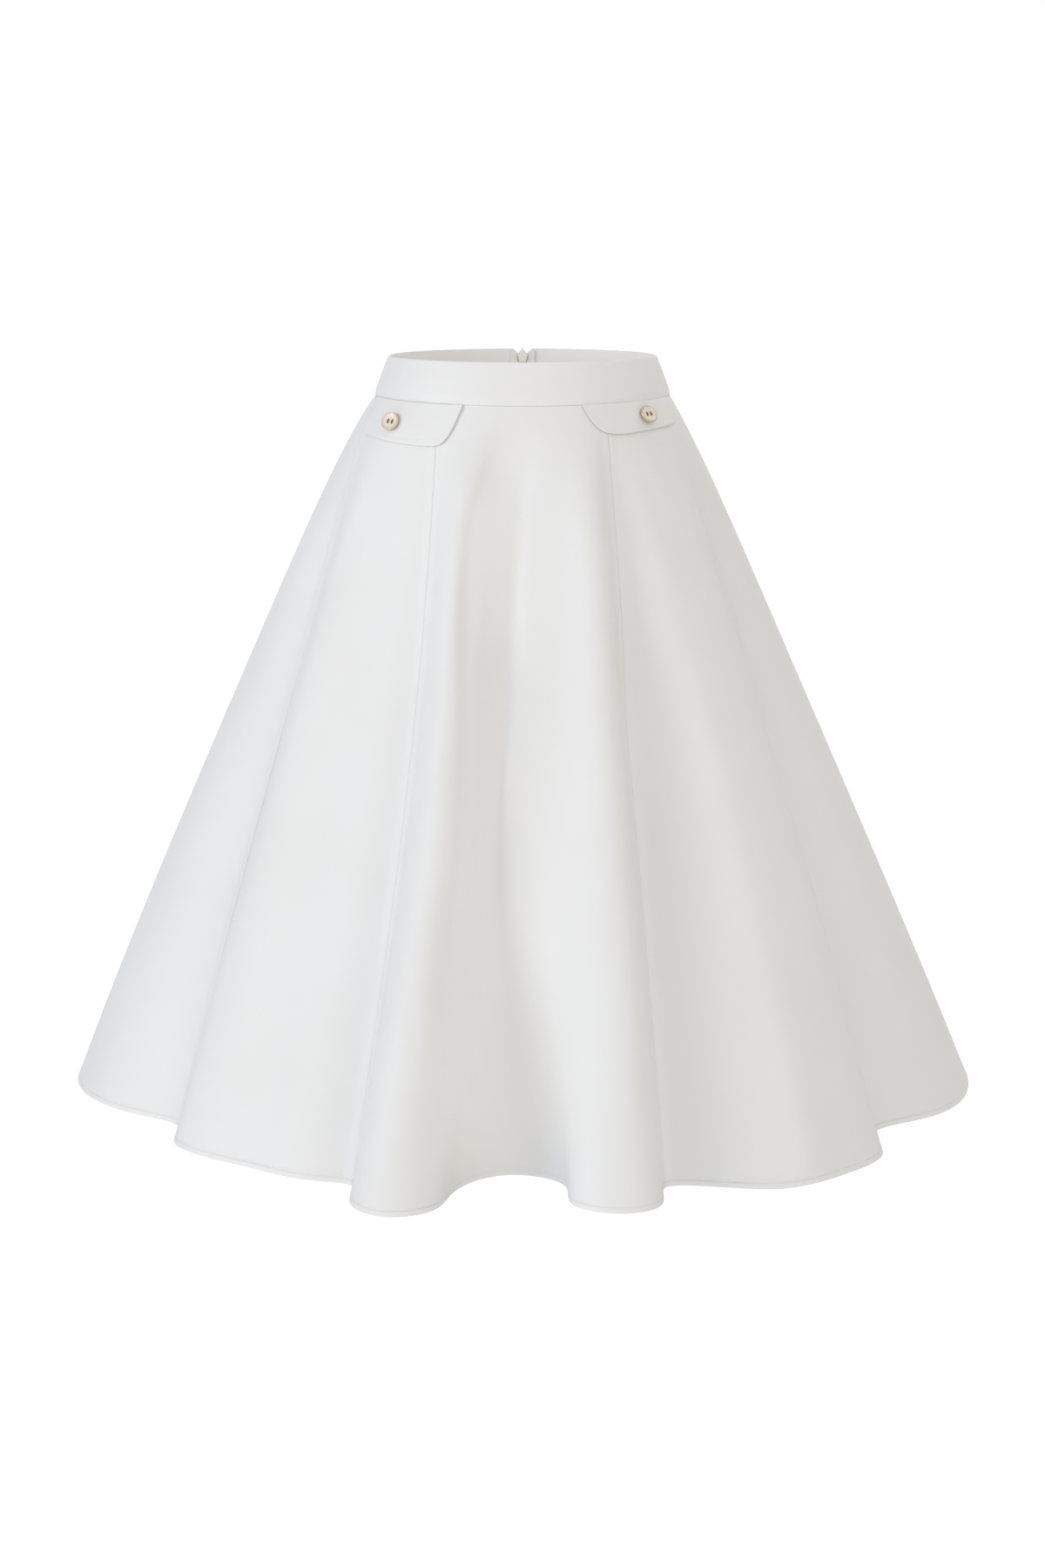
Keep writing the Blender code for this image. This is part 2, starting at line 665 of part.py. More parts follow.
def build():
    clear_scene()
    cloth = material("ivory_cloth", CLOTH_COLOUR, 0.75)
    tape = material("zip_tape", LINING_SIDE_COLOUR, 0.85)
    pearl = material("button_pearl", BUTTON_COLOUR, 0.35)
    enamel = material("zip_enamel", ZIP_COLOUR, 0.45)
    for name, first, last in PANELS:
        panel(name, first, last, cloth)
    left_side, right_side = dict(SEAMS)["left_side_seam"], dict(SEAMS)["right_side_seam"]
    band("waistband_front", left_side, right_side, cloth)
    band("waistband_back_right", right_side, 180.0, cloth, notch=-1)
    band("waistband_back_left", 180.0, 360.0 + left_side, cloth, notch=1)
    for name, way, degrees, drop, forwards, upwards in BUTTON_ROWS:
        flap("pocket_flap_" + name, way, cloth)
        button("button_" + name, way, degrees, drop, forwards, upwards, pearl)
        zip_tape("zip_tape_" + name, way, tape)
    zip_slider(enamel)
    zip_pull_tab(enamel)


build()
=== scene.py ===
import math

import bmesh
import bpy
import numpy as np
from mathutils import Matrix, Vector


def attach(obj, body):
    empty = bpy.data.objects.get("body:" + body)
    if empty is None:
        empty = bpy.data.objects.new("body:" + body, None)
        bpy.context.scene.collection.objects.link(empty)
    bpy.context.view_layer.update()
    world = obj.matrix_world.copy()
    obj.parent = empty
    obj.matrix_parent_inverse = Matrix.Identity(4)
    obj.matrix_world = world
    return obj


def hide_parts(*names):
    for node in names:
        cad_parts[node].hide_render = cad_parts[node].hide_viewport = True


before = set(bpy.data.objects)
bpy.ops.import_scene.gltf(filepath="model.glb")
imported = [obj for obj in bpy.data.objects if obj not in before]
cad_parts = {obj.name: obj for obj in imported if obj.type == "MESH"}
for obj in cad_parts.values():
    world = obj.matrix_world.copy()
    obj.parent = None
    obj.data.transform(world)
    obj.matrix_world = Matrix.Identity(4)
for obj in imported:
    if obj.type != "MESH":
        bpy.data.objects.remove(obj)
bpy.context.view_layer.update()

# The skirt's sizes, in metres, the same as its solids have. The front faces -Y and +Z is up.
TOP_HALF_WIDTH = 0.125
TOP_HALF_DEPTH = 0.094
SEAM_HALF_WIDTH = 0.139
SEAM_HALF_DEPTH = 0.105
BAND_HEIGHT = 0.039
BAND_HEIGHT_AT_SIDES = 0.0365
BAND_TOP_Z = 0.020
SEAM_Z = BAND_TOP_Z - BAND_HEIGHT
HEM_Z = -0.692
PANEL_DROP = SEAM_Z - HEM_Z
HIP_EASE_LEFT = 0.0155
HIP_EASE_RIGHT = 0.0095
HIP_EASE_FRONT_AND_BACK = 0.011
HIP_EASE_LENGTH = 0.08
EXTRA_FLARE_ACROSS = 0.6
EXTRA_FLARE_DEEP = 0.25
FRONT_SWAY = 0.006

# Folds: they stand off an oval of this size at the hem, and start as nothing at the waist seam
HEM_OVAL_HALF_WIDTH = 0.436
HEM_OVAL_HALF_DEPTH = 0.375
FOLD_POWER = 0.9
FOLD_START = 0.06
LEAN_LEVEL = 0.45

# Cloth: its thickness, how far the band's two faces lie from the skirt's, and half the gap at a seam
CLOTH = 0.0015
BAND_OUTER = 0.0015
BAND_INNER = -0.0013
TOUCHING = 0.00003

# The hem seen from above, one row for each fold or turn of the cloth, once round from the left side.
# Degrees go round from the front centre towards +X; the radius is from the origin's vertical.
HEM_ROWS = [
    # name, degrees round, radius in millimetres
    ("left_side_crest", -91.0, 441),
    ("left_side_slope", -72.5, 383),
    ("left_side_seam", -64.4, 358),
    ("left_wide_edge", -59.0, 378),
    ("left_wide_turn", -52.5, 380),
    ("left_wide_face", -42.0, 367),
    ("left_wide_end", -31.5, 360),
    ("left_front_seam", -25.3, 356),
    ("left_fold_edge", -22.8, 392),
    ("left_fold_crest", -16.4, 421),
    ("left_fold_turn", -11.6, 398),
    ("left_fold_end", -10.2, 346),
    ("front_hollow", -1.8, 292),
    ("right_fold_start", 6.6, 322),
    ("right_fold_edge", 6.7, 374),
    ("right_fold_crest", 11.9, 404),
    ("right_fold_turn", 18.0, 393),
    ("right_front_seam", 21.4, 350),
    ("right_wide_start", 28.8, 372),
    ("right_wide_face", 36.5, 405),
    ("right_wide_turn", 46.0, 410),
    ("right_wide_edge", 55.5, 402),
    ("right_side_seam", 62.6, 371),
    ("right_side_slope", 71.5, 401),
    ("right_side_crest", 90.0, 441),
    ("right_side_back", 100.0, 434),
    ("right_back_hollow", 111.0, 366),
    ("right_back_rise", 120.0, 389),
    ("right_back_crest", 129.0, 424),
    ("right_back_fall", 138.0, 395),
    ("right_rear_hollow", 146.0, 346),
    ("right_rear_rise", 153.5, 381),
    ("right_rear_crest", 161.0, 425),
    ("right_rear_fall", 170.5, 396),
    ("centre_back_seam", 180.0, 352),
    ("left_rear_rise", 189.0, 389),
    ("left_rear_crest", 198.5, 421),
    ("left_rear_fall", 207.0, 383),
    ("left_rear_hollow", 215.0, 340),
    ("left_back_rise", 223.0, 389),
    ("left_back_crest", 231.5, 429),
    ("left_back_fall", 240.5, 400),
    ("left_back_hollow", 249.0, 362),
    ("left_side_back", 260.0, 431),
]

# How the front's folds lean half way down, given as if they were carried down to the hem like that
HALF_WAY_ROWS = {
    # name: degrees round, radius in millimetres
    "left_fold_turn": (-11.8, 398),
    "left_fold_end": (-12.9, 368),
    "front_hollow": (-10.8, 336),
    "right_fold_start": (-4.0, 342),
    "right_fold_edge": (4.6, 371),
    "right_wide_turn": (47.5, 420),
    "right_wide_edge": (56.5, 413),
}

SEAMS = {
    # hem row, degrees round at the waist
    "left_side_seam": -73.0,
    "left_front_seam": -33.0,
    "right_front_seam": 33.0,
    "right_side_seam": 74.0,
    "centre_back_seam": 180.0,
}

PANELS = [
    # name, first seam, last seam, the band it hangs from, cut width at the hem, cut length, cut area
    ("front_panel", "left_front_seam", "right_front_seam", "waistband_front", 0.545, 0.755, 0.234),
    ("side_front_left", "left_side_seam", "left_front_seam", "waistband_front", 0.283, 0.740, 0.144),
    ("side_front_right", "right_front_seam", "right_side_seam", "waistband_front", 0.333, 0.753, 0.161),
    ("back_right", "right_side_seam", "centre_back_seam", "waistband_back_right", 0.987, 0.760, 0.445),
    ("back_left", "centre_back_seam", "left_side_seam", "waistband_back_left", 0.983, 0.760, 0.446),
]

# Bands and flaps are cut double: length, height and area are the finished ones of one layer
BANDS = [
    # name, degrees round of its two ends, end at the notch (1 first, -1 last), length, height, area
    ("waistband_front", SEAMS["left_side_seam"], SEAMS["right_side_seam"], 0, 0.330, 0.044, 0.0130),
    ("waistband_back_right", SEAMS["right_side_seam"], 180.0, -1, 0.230, 0.044, 0.0090),
    ("waistband_back_left", 180.0, 360.0 + SEAMS["left_side_seam"], 1, 0.230, 0.044, 0.0090),
]
FLAP_CUTS = {
    "left": (0.112, 0.040, 0.0044),
    "right": (0.112, 0.030, 0.0031),
}

# Cloth surface, finer than the solids
COLUMN_STEP = 0.0042
ROW_STEP = 0.008
SEAM_STEPS = np.array(
    [0.0, 0.0004, 0.0008, 0.0013, 0.0019, 0.0027, 0.0038, 0.0055, 0.0080, 0.0100, 0.0115, 0.0130]
)
WAIST_STEPS = np.array([0.0, 0.0004, 0.0009, 0.0015, 0.0023, 0.0035, 0.0055, 0.0085])
HEM_STEPS = np.array([
    0.0, 0.0001, 0.0003, 0.0006, 0.0011, 0.0020, 0.0032, 0.0042, 0.0047,
    0.0051, 0.0055, 0.0060, 0.0066, 0.0073, 0.0081, 0.0095, 0.0120, 0.0160,
])
SLOPE_STEP = 0.0005
SLOPE_RISE_HIGH = 0.002
SLOPE_RISE_LOW = 0.01

# Seams: a fine groove, with the pressed allowances below as a faint wider ridge and some pucker
SEAM_DIP = 0.0005
SEAM_DIP_WIDTH = 0.0009
SEAM_RIDGE = 0.0003
SEAM_PUCKER = 0.00016
SEAM_PUCKER_LENGTH = 0.017
PUCKER_WIDTH = 0.005
PRESSED_WIDTH = 0.0050
PRESSED_EDGE = 0.0009
ALLOWANCE_WIDTH = 0.011
ALLOWANCE_EDGE = 0.0004
ALLOWANCE_THICKNESS = 0.0009
WAIST_DIP = 0.0003
WAIST_DIP_WIDTH = 0.0016

# Hem: turned up and stitched through
HEM_TURN = 0.0066
HEM_TURN_EDGE = 0.0006
HEM_PUFF = 0.0003
HEM_PUFF_EDGES = (HEM_TURN - 0.0008, HEM_TURN + 0.0010)
HEM_STITCH_HEIGHT = 0.0051
HEM_STITCH_DIP = 0.00035
HEM_STITCH_WIDTH = 0.00055
HEM_PUCKER = 0.00015
HEM_PUCKER_LENGTH = 0.0085
HEM_PUCKER_PHASE = 0.7
HEM_INSIDE = 0.0009
EDGE_ROUND = 0.0007
STITCH_PITCH = 0.0031
STITCH_LENGTH = 0.0025
STITCH_SIDES = 5
STITCH_SINK = 0.4
THREAD_RADIUS = 0.0002
STITCH_ROWS = [
    # place along the stitch, height above the cloth and thickness, both in thread radii
    (-0.5, -1.3, 0.5),
    (-0.36, 0.1, 1.0),
    (0.0, 0.55, 1.0),
    (0.36, 0.1, 1.0),
    (0.5, -1.3, 0.5),
]

# Creases: soft troughs and ridges down the cloth, each as steep as its two widths make it
CREASES = [
    # name, places along the hem, their levels, lift, width before the line and after it, in metres
    ("hollow_edge_high", (0.660, 0.618, 0.578, 0.568), (0.04, 0.085, 0.14, 0.32), -0.0036, 0.012, 0.034),
    ("hollow_edge", (0.568, 0.578, 0.592, 0.602), (0.22, 0.32, 0.50, 0.84), -0.0044, 0.0085, 0.050),
    ("left_fold_shoulder", (0.580, 0.544, 0.538, 0.552, 0.566), (0.07, 0.15, 0.30, 0.50, 0.80),
     0.0016, 0.024, 0.010),
    ("right_fold_shoulder", (0.906, 0.914, 0.908, 0.898, 0.892), (0.10, 0.20, 0.42, 0.60, 0.85),
     0.0026, 0.032, 0.012),
    ("right_seam_side", (0.950, 0.950, 0.948), (0.08, 0.22, 0.46), -0.0012, 0.011, 0.008),
    ("hollow_floor", (0.722, 0.716, 0.716), (0.42, 0.66, 0.95), 0.0048, 0.030, 0.034),
    ("hollow_right", (0.766, 0.768, 0.762, 0.748, 0.738), (0.40, 0.54, 0.68, 0.80, 0.95),
     0.0036, 0.036, 0.036),
    ("right_valley", (1.030, 1.046, 1.056, 1.062, 1.068), (0.36, 0.50, 0.65, 0.80, 1.06),
     -0.0084, 0.050, 0.028),
    ("left_fold_fall", (0.590, 0.588, 0.585), (0.60, 0.78, 0.95), -0.0052, 0.034, 0.022),
    ("right_side_valley", (1.298, 1.308, 1.312, 1.302), (0.42, 0.62, 0.80, 0.96), -0.0056, 0.040, 0.030),
    ("left_side_valley", (0.164, 0.168, 0.176, 0.190), (0.42, 0.62, 0.80, 0.96), -0.0040, 0.030, 0.022),
    ("left_hip_drag", (0.330, 0.296, 0.258), (0.075, 0.15, 0.26), -0.0009, 0.010, 0.016),
    ("left_wide_trough", (0.330, 0.322, 0.330, 0.342), (0.20, 0.42, 0.66, 0.92), -0.0014, 0.026, 0.038),
    ("left_lobe_fold", (0.120, 0.108, 0.100), (0.35, 0.62, 0.90), -0.0012, 0.022, 0.018),
    ("right_hip_drag", (1.050, 1.085, 1.130), (0.070, 0.14, 0.25), -0.0010, 0.014, 0.009),
    ("right_hip_line", (1.115, 1.150, 1.196), (0.15, 0.23, 0.33), -0.0008, 0.010, 0.008),
    ("right_wide_trough", (1.110, 1.100, 1.092), (0.38, 0.62, 0.90), -0.0010, 0.022, 0.030),
    ("right_lobe_fold", (1.392, 1.404, 1.410), (0.38, 0.64, 0.92), -0.0012, 0.020, 0.024),
    ("back_right_drag", (1.700, 1.668, 1.640), (0.08, 0.19, 0.33), -0.0012, 0.012, 0.018),
    ("back_right_trough", (1.842, 1.850, 1.862), (0.28, 0.55, 0.88), -0.0014, 0.020, 0.030),
    ("right_rear_line", (2.010, 2.026, 2.048), (0.30, 0.48, 0.70), 0.0011, 0.016, 0.012),
    ("left_rear_line", (2.330, 2.312, 2.300), (0.26, 0.50, 0.78), 0.0012, 0.014, 0.018),
    ("back_left_trough", (2.520, 2.512, 2.502), (0.24, 0.52, 0.90), -0.0014, 0.026, 0.018),
    ("back_left_drag", (2.640, 2.676, 2.712), (0.07, 0.17, 0.30), -0.0011, 0.016, 0.012),
]
DENTS = [
    # name, place along the hem, level, lift, half width across and down, in metres
    ("hollow_head", 0.668, 0.092, -0.0024, 0.022, 0.028),
    ("front_head", 0.800, 0.130, 0.0012, 0.020, 0.050),
    ("right_hip", 1.120, 0.110, -0.0010, 0.022, 0.020),
    ("left_hip", 0.270, 0.130, 0.0010, 0.024, 0.030),
    ("back_right_seat", 1.860, 0.120, 0.0012, 0.030, 0.030),
    ("back_left_seat", 2.420, 0.100, -0.0010, 0.026, 0.022),
]
CREASE_TAPER = 0.16
CREASE_START = 0.03

# Waistband: rounded edges, a slight crown and a pressed lower edge
BAND_STEPS = np.array([0.0, 0.0003, 0.0007, 0.0012, 0.0018, 0.0026, 0.0038, 0.0055])
BAND_COLUMN_STEP = 0.009
BAND_LEVELS = 14
BAND_ROUND = 0.0012
BAND_END_ROUND = 0.0006
BAND_LOWER_ROUND = 0.0005
BAND_CROWN = 0.0003
BAND_SEAM_PRESS = 0.0008
BAND_SEAM_WIDTH = 0.007

# Pocket flaps
FLAP_ROWS = [
    # degrees round at the waist, drop below the waist seam in millimetres on the left and on the right
    (23.2, 3.0, 3.0),
    (24.8, 13.0, 10.0),
    (26.6, 23.0, 16.5),
    (28.6, 31.0, 21.5),
    (30.8, 36.0, 25.0),
    (33.6, 38.0, 27.0),
    (38.0, 38.5, 28.0),
    (48.0, 38.0, 27.0),
    (60.0, 35.5, 25.5),
    (70.0, 32.5, 23.5),
    (72.8, 31.0, 21.5),
]
FLAP_THICKNESS = 0.0018
FLAP_CLOTH = 0.0014
FLAP_EDGE_LIFT = 0.0011
FLAP_GAP = 0.0003
FLAP_COLUMNS = 110
FLAP_LEVELS = 34
FLAP_RIM = 0.0002
FLAP_RIM_WIDTH = 0.0045
FLAP_RIM_EDGE = 0.0012
FLAP_ROUND = 0.0012
FLAP_PUFF = 0.0004
FLAP_PUFF_EDGE = 0.012
FLAP_UNDER_ROUND = 0.6
FLAP_TOP = 0.00005
FLAP_CROWDING = 1.6
FLAP_DEGREE = 0.0021
FLAP_EDGE_POINTS = 400
TURN_STEP = 0.001

# Buttons
BUTTON_ROWS = [
    # name, side, degrees round at the waist, drop below the waist seam, degrees turned forwards and up
    ("left", -1, 54.3, 0.0208, 13, 1),
    ("right", 1, 52.3, 0.0143, 5, 9),
]
BUTTON_STAND = 0.0016
BUTTON_STEPS = 64
BUTTON_HOLE_RADIUS = 0.0009
BUTTON_HOLE_X = 0.0022
BUTTON_HOLE_Y = 0.0015

# Buttons' thread: three strands over each pair of holes, and a shank under the disc
SEWING_OFFSETS = (-0.00048, 0.0, 0.00048)
SEWING_STEPS = 8
SEWING_RADIUS = 0.0003
SEWING_LOW = 0.0012
SEWING_ARCH = 0.0019
SHANK_RADIUS = 0.0016
SHANK_TOP = 0.0015
SHANK_SINK = 0.0006

# Buttons' sections: a pearl disc in a gold rim. Edges sharper than this angle stay crisp.
SHARP_ANGLE = math.radians(50)
PEARL_PROFILE = [
    # radius, height
    (0.0, 0.0004),
    (0.0056, 0.0003),
    (0.0072, 0.0008),
    (0.0078, 0.0022),
    (0.0078, 0.0031),
    (0.0075, 0.0034),
    (0.0070, 0.0033),
    (0.0063, 0.0029),
    (0.0054, 0.0026),
    (0.0, 0.0025),
]
RIM_PROFILE = [
    # radius, height, once round the section of the rim
    (0.0062, 0.0001),
    (0.0081, 0.0006),
    (0.0084, 0.0012),
    (0.0085, 0.0023),
    (0.0084, 0.0032),
    (0.0082, 0.0036),
    (0.0079, 0.0036),
    (0.0077, 0.0033),
    (0.0077, 0.0018),
    (0.0064, 0.0008),
]

# Zip
TAPE_WIDTH = 0.012
TAPE_THICKNESS = 0.001
SEAM_GAP = 0.0003
TAPE_ROWS = [
    # height in metres, half gap between the two tapes
    (0.0185, 0.0080),
    (0.0165, 0.0046),
    (0.0120, 0.0034),
    (0.0072, 0.0026),
    (0.0064, 0.0004),
    (-0.0060, 0.0004),
    (-0.2150, 0.0004),
]
BAND_END_ROWS = [
    # height in metres, half gap between the band's two back ends
    (BAND_TOP_Z, 0.0096),
    (0.0190, 0.0082),
    (0.0158, 0.0048),
    (0.0120, 0.0044),
    (0.0072, 0.0038),
    (0.0050, 0.0028),
    (0.0034, TOUCHING),
    (SEAM_Z, TOUCHING),
]
TAPE_BELOW_TOP = 0.0060
TAPE_POINTS_ABOVE = 14
TAPE_POINTS_BELOW = 60
TAPE_COLUMNS = 9

# Zip slider: its outline at the teeth, its plates, pin and ears
SLIDER_Z = 0.0137
# The flange is a real cord under the rim. Its dark colour is painted shadow along the slider's lower edge
# and sides.
FLANGE_RADIUS = 0.00033
SLIDER_OUTLINE = [
    # across, up
    (-0.0035, -0.0060),
    (0.0035, -0.0060),
    (0.0053, 0.0012),
    (0.0051, 0.0018),
    (0.0042, 0.0022),
    (0.0016, 0.0048),
    (0.0006, 0.0066),
    (-0.0006, 0.0066),
    (-0.0016, 0.0048),
    (-0.0042, 0.0022),
    (-0.0051, 0.0018),
    (-0.0053, 0.0012),
]
SLIDER_PLATES = [
    # name, lowest and highest out of the cloth, share of the outline across and up, rounding of its edges
    ("inner", -0.0046, -0.0036, 1.0, 1.0, 0.00018),
    ("outer", 0.0010, 0.0022, 0.78, 0.96, 0.0003),
    ("core", -0.0038, 0.0014, 0.45, 0.85, 0.0),
]
FLANGE_SPREAD = 1.02
PIN_UP = 0.0016
PIN_OUT = 0.0043
PIN_RADIUS = 0.0006
PIN_HALF_LENGTH = 0.0023
EAR_RADIUS = 0.0013
EAR_FEET = [(0.0003, 0.0017), (0.0029, 0.0017)]
EAR_INSIDE = 0.0019
EAR_OUTSIDE = 0.0027
EAR_ROUND = 0.00015

# Zip pull tab
TAB_LENGTH = 0.021
TAB_RADIUS = 0.0032
TAB_HALF_THICKNESS = 0.0006
TAB_ROUND = 0.00025
TAB_LEAN = math.radians(5.2)
NECK_HALF_WIDTH = 0.0015
NECK_TOP = -0.0013
NECK_END = -0.004
EYE_RADIUS = 0.0017
EYE_BORE = 0.0009
EYE_HALF_WIDTH = 0.0016

# Zip coil
COIL_PITCH = 0.0013
COIL_RADIUS = 0.00028
COIL_REACH = 0.0022
COIL_OVERLAP = 0.0005
COIL_RISE = 0.0003
COIL_DEPTH = 0.0006
COIL_UNDER = 0.0007
COIL_TOP = 0.0048
COIL_END = -0.2120

# Camera: it looks a little down on the skirt's front
CAMERA_PLACE = (0.0, -3.0, 0.228)
CAMERA_DOWN = math.radians(11.7)
CAMERA_LENS = 72.5
SENSOR = 36.0
CAMERA_CLIP = 200.0

# Studio: the surround's soft patches, the floor, the white horizon and the key light
SURROUND_ROWS = [
    # name, degrees round from the front towards +X, degrees up, brightness in red, green and blue
    ("floor_bounce", 0, -90, (1.98, 1.80, 1.64)),
    ("left_level", -80, 15, (0.70, 0.61, 0.51)),
    ("front_left_level", -50, 15, (0.60, 0.64, 0.74)),
    ("front_left_low", -50, -30, (0.14, 0.34, 0.58)),
    ("front_right_low", 10, -30, (0.62, 0.44, 0.18)),
    ("front_high", 0, 50, (0.20, 0.20, 0.19)),
    ("front_level", 0, 5, (0.06, 0.05, 0.05)),
    ("right_level", 40, 15, (1.06, 1.13, 1.24)),
    ("back_right_high", 120, 55, (1.05, 1.00, 0.86)),
    ("back_level", 180, 15, (1.36, 1.42, 1.44)),
]
SURROUND_POWER = 4.0
HORIZON_TOP = 0.045
HORIZON_END = 0.10
FLOOR_Z = -1.3
FLOOR_RADIUS = 60.0
FLOOR_COLOUR = (0.35, 0.35, 0.35)
FLOOR_GLOW = 0.82
HORIZON_WHITE = (1.05, 1.05, 1.05)
KEY_ROUND = math.radians(-62)
KEY_UP = math.radians(9)
KEY_SPREAD = math.radians(26)
KEY_STRENGTH = 0.72
KEY_COLOUR = (0.98, 0.98, 1.0)


# Smooth curves and steps

def smooth_step(x, start, end):
    share = np.clip((x - start) / (end - start), 0, 1)
    return share * share * (3 - 2 * share)


def ends_at(distance, place, half_width):
    """1 before the place and 0 after it, with a soft edge."""
    return 1 - smooth_step(distance, place - half_width, place + half_width)


def bell(x, width):
    return np.exp(-((x / width) ** 2))


def wobble(x, wavelength, phase):
    """An uneven wave between about -1 and 1."""
    turn = 2 * math.pi * np.asarray(x) / wavelength
    slow = 0.5 * np.sin(0.41 * turn + phase)
    return (np.sin(turn + phase) + 0.7 * np.sin(1.63 * turn + 2.1 * phase) + slow) / 2


def round_over(distance, radius):
    """How far a rounded edge falls back, by the distance from it."""
    inside = np.clip(radius - distance, 0, None)
    return radius - np.sqrt(np.clip(radius**2 - inside**2, 0, None))


def open_spline(knots, values, at):
    """A smooth open curve through values at the knots."""
    slopes = np.gradient(values, knots, axis=0)
    i = np.clip(np.searchsorted(knots, at, side="right") - 1, 0, len(knots) - 2)
    gap = (knots[i + 1] - knots[i])[:, None]
    t = (at - knots[i])[:, None] / gap
    a = (2 * t**3 - 3 * t**2 + 1) * values[i] + (t**3 - 2 * t**2 + t) * slopes[i] * gap
    return a + (-2 * t**3 + 3 * t**2) * values[i + 1] + (t**3 - t**2) * slopes[i + 1] * gap


def closed_spline(knots, values):
    """A smooth closed curve through values at the knots; the last knot closes it. Returns a function."""
    knots = np.asarray(knots, float)
    values = np.asarray(values, float)
    count = len(values)
    gaps = np.diff(knots)
    system = np.zeros((count, count))
    right = np.zeros_like(values)
    for i in range(count):
        before, after = gaps[i - 1], gaps[i]
        system[i, i - 1] += before / 6
        system[i, i] += (before + after) / 3
        system[i, (i + 1) % count] += after / 6
        right[i] = (values[(i + 1) % count] - values[i]) / after - (values[i] - values[i - 1]) / before
    bends = np.linalg.solve(system, right)
    values = np.concatenate([values, values[:1]])
    bends = np.concatenate([bends, bends[:1]])
    period = knots[-1] - knots[0]

    def at(place):
        place = np.mod(np.asarray(place, float) - knots[0], period) + knots[0]
        i = np.clip(np.searchsorted(knots, place, side="right") - 1, 0, count - 1)
        gap = gaps[i]
        b = (place - knots[i]) / gap
        a = 1 - b
        if values.ndim > 1:
            a, b, gap = a[..., None], b[..., None], gap[..., None]
        curve = a * values[i] + b * values[i + 1]
        return curve + ((a**3 - a) * bends[i] + (b**3 - b) * bends[i + 1]) * gap**2 / 6

    return at


def together(place, level):
    return np.broadcast_arrays(np.asarray(place, float), np.asarray(level, float))


def plan_point(degrees, radius):
    turn = np.radians(degrees)
    return np.stack([np.sin(turn) * radius, -np.cos(turn) * radius], axis=-1)


def hem_curve():
    """The hem from above as a function of its length, the length at each row, and the whole length."""
    points = np.array([plan_point(degrees, radius / 1000) for _, degrees, radius in HEM_ROWS])
    steps = np.linalg.norm(np.roll(points, -1, axis=0) - points, axis=1)
    knots = np.concatenate([[0], np.cumsum(steps)])
    half_way = points.copy()
    for i, row in enumerate(HEM_ROWS):
        if row[0] in HALF_WAY_ROWS:
            degrees, radius = HALF_WAY_ROWS[row[0]]
            half_way[i] = plan_point(degrees, radius / 1000)
    return closed_spline(knots, points), closed_spline(knots, half_way), knots[:-1], knots[-1]


HEM, HALF_WAY, ROW_LENGTHS, HEM_LENGTH = hem_curve()
ROW_AT = {row[0]: ROW_LENGTHS[i] for i, row in enumerate(HEM_ROWS)}


def waist_turn():
    """Degrees round at the waist as a function of hem length, from the places where seams are pinned."""
    lengths = np.array([ROW_AT[name] for name in SEAMS])
    degrees = np.array(list(SEAMS.values()))
    drift = degrees - 360 * lengths / HEM_LENGTH
    wave = closed_spline(np.append(lengths, lengths[0] + HEM_LENGTH), drift)
    return lambda place: wave(place) + 360 * np.asarray(place, float) / HEM_LENGTH


WAIST_TURN = waist_turn()


# The skirt's outer face. "place" is metres along the hem and "level" runs from -1 at the band's top edge
# to 0 at the waist seam and 1 at the hem.

def oval_below(hem):
    """The point of the hem's plain oval in the same direction as a point of the hem."""
    reach = np.linalg.norm(hem, axis=-1, keepdims=True)
    across, deep = hem[..., :1] / reach, hem[..., 1:] / reach
    radius = 1 / np.sqrt((across / HEM_OVAL_HALF_WIDTH) ** 2 + (deep / HEM_OVAL_HALF_DEPTH) ** 2)
    return np.concatenate([across * radius, deep * radius], axis=-1)


def face(place, level):
    """Points of the outer face, the waistband's included, before the band's own thickness."""
    place, level = together(place, level)
    turn = np.radians(WAIST_TURN(place))
    in_band = np.clip(-level, 0, 1)
    down = np.clip(level, 0, None)
    half_width = SEAM_HALF_WIDTH + (TOP_HALF_WIDTH - SEAM_HALF_WIDTH) * in_band
    half_depth = SEAM_HALF_DEPTH + (TOP_HALF_DEPTH - SEAM_HALF_DEPTH) * in_band
    oval = np.stack([np.sin(turn) * half_width, -np.cos(turn) * half_depth], axis=-1)
    outward = np.stack([np.sin(turn), -np.cos(turn)], axis=-1)
    across = np.sin(turn) ** 2
    extra = np.stack([EXTRA_FLARE_ACROSS * (1 - across), EXTRA_FLARE_DEEP * (1 - across)], axis=-1)
    flare = down[..., None] ** (1 + extra)
    side_ease = np.where(np.sin(turn) < 0, HIP_EASE_LEFT, HIP_EASE_RIGHT)
    ease = HIP_EASE_FRONT_AND_BACK + (side_ease - HIP_EASE_FRONT_AND_BACK) * across
    ease = ease * (1 - np.exp(-down / HIP_EASE_LENGTH)) * (1 - down**4)
    hem = HEM(place)
    hem_oval = oval_below(hem)
    grown = down**FOLD_POWER * (1 - bell(down, FOLD_START))
    late = smooth_step(down, LEAN_LEVEL, 1)
    half_way = HALF_WAY(place)
    fold = half_way - hem_oval + (hem - half_way) * late[..., None]
    plan = oval + (hem_oval - oval) * flare + fold * grown[..., None] + outward * ease[..., None]
    plan[..., 0] += FRONT_SWAY * np.sin(math.pi * np.clip(down, 0, 1)) * np.clip(np.cos(turn), 0, 1) ** 2
    band_height = BAND_HEIGHT + (BAND_HEIGHT_AT_SIDES - BAND_HEIGHT) * across
    seam_z = BAND_TOP_Z - band_height
    height = seam_z + band_height * in_band + (HEM_Z - seam_z) * down
    return np.concatenate([plan, height[..., None]], axis=-1)


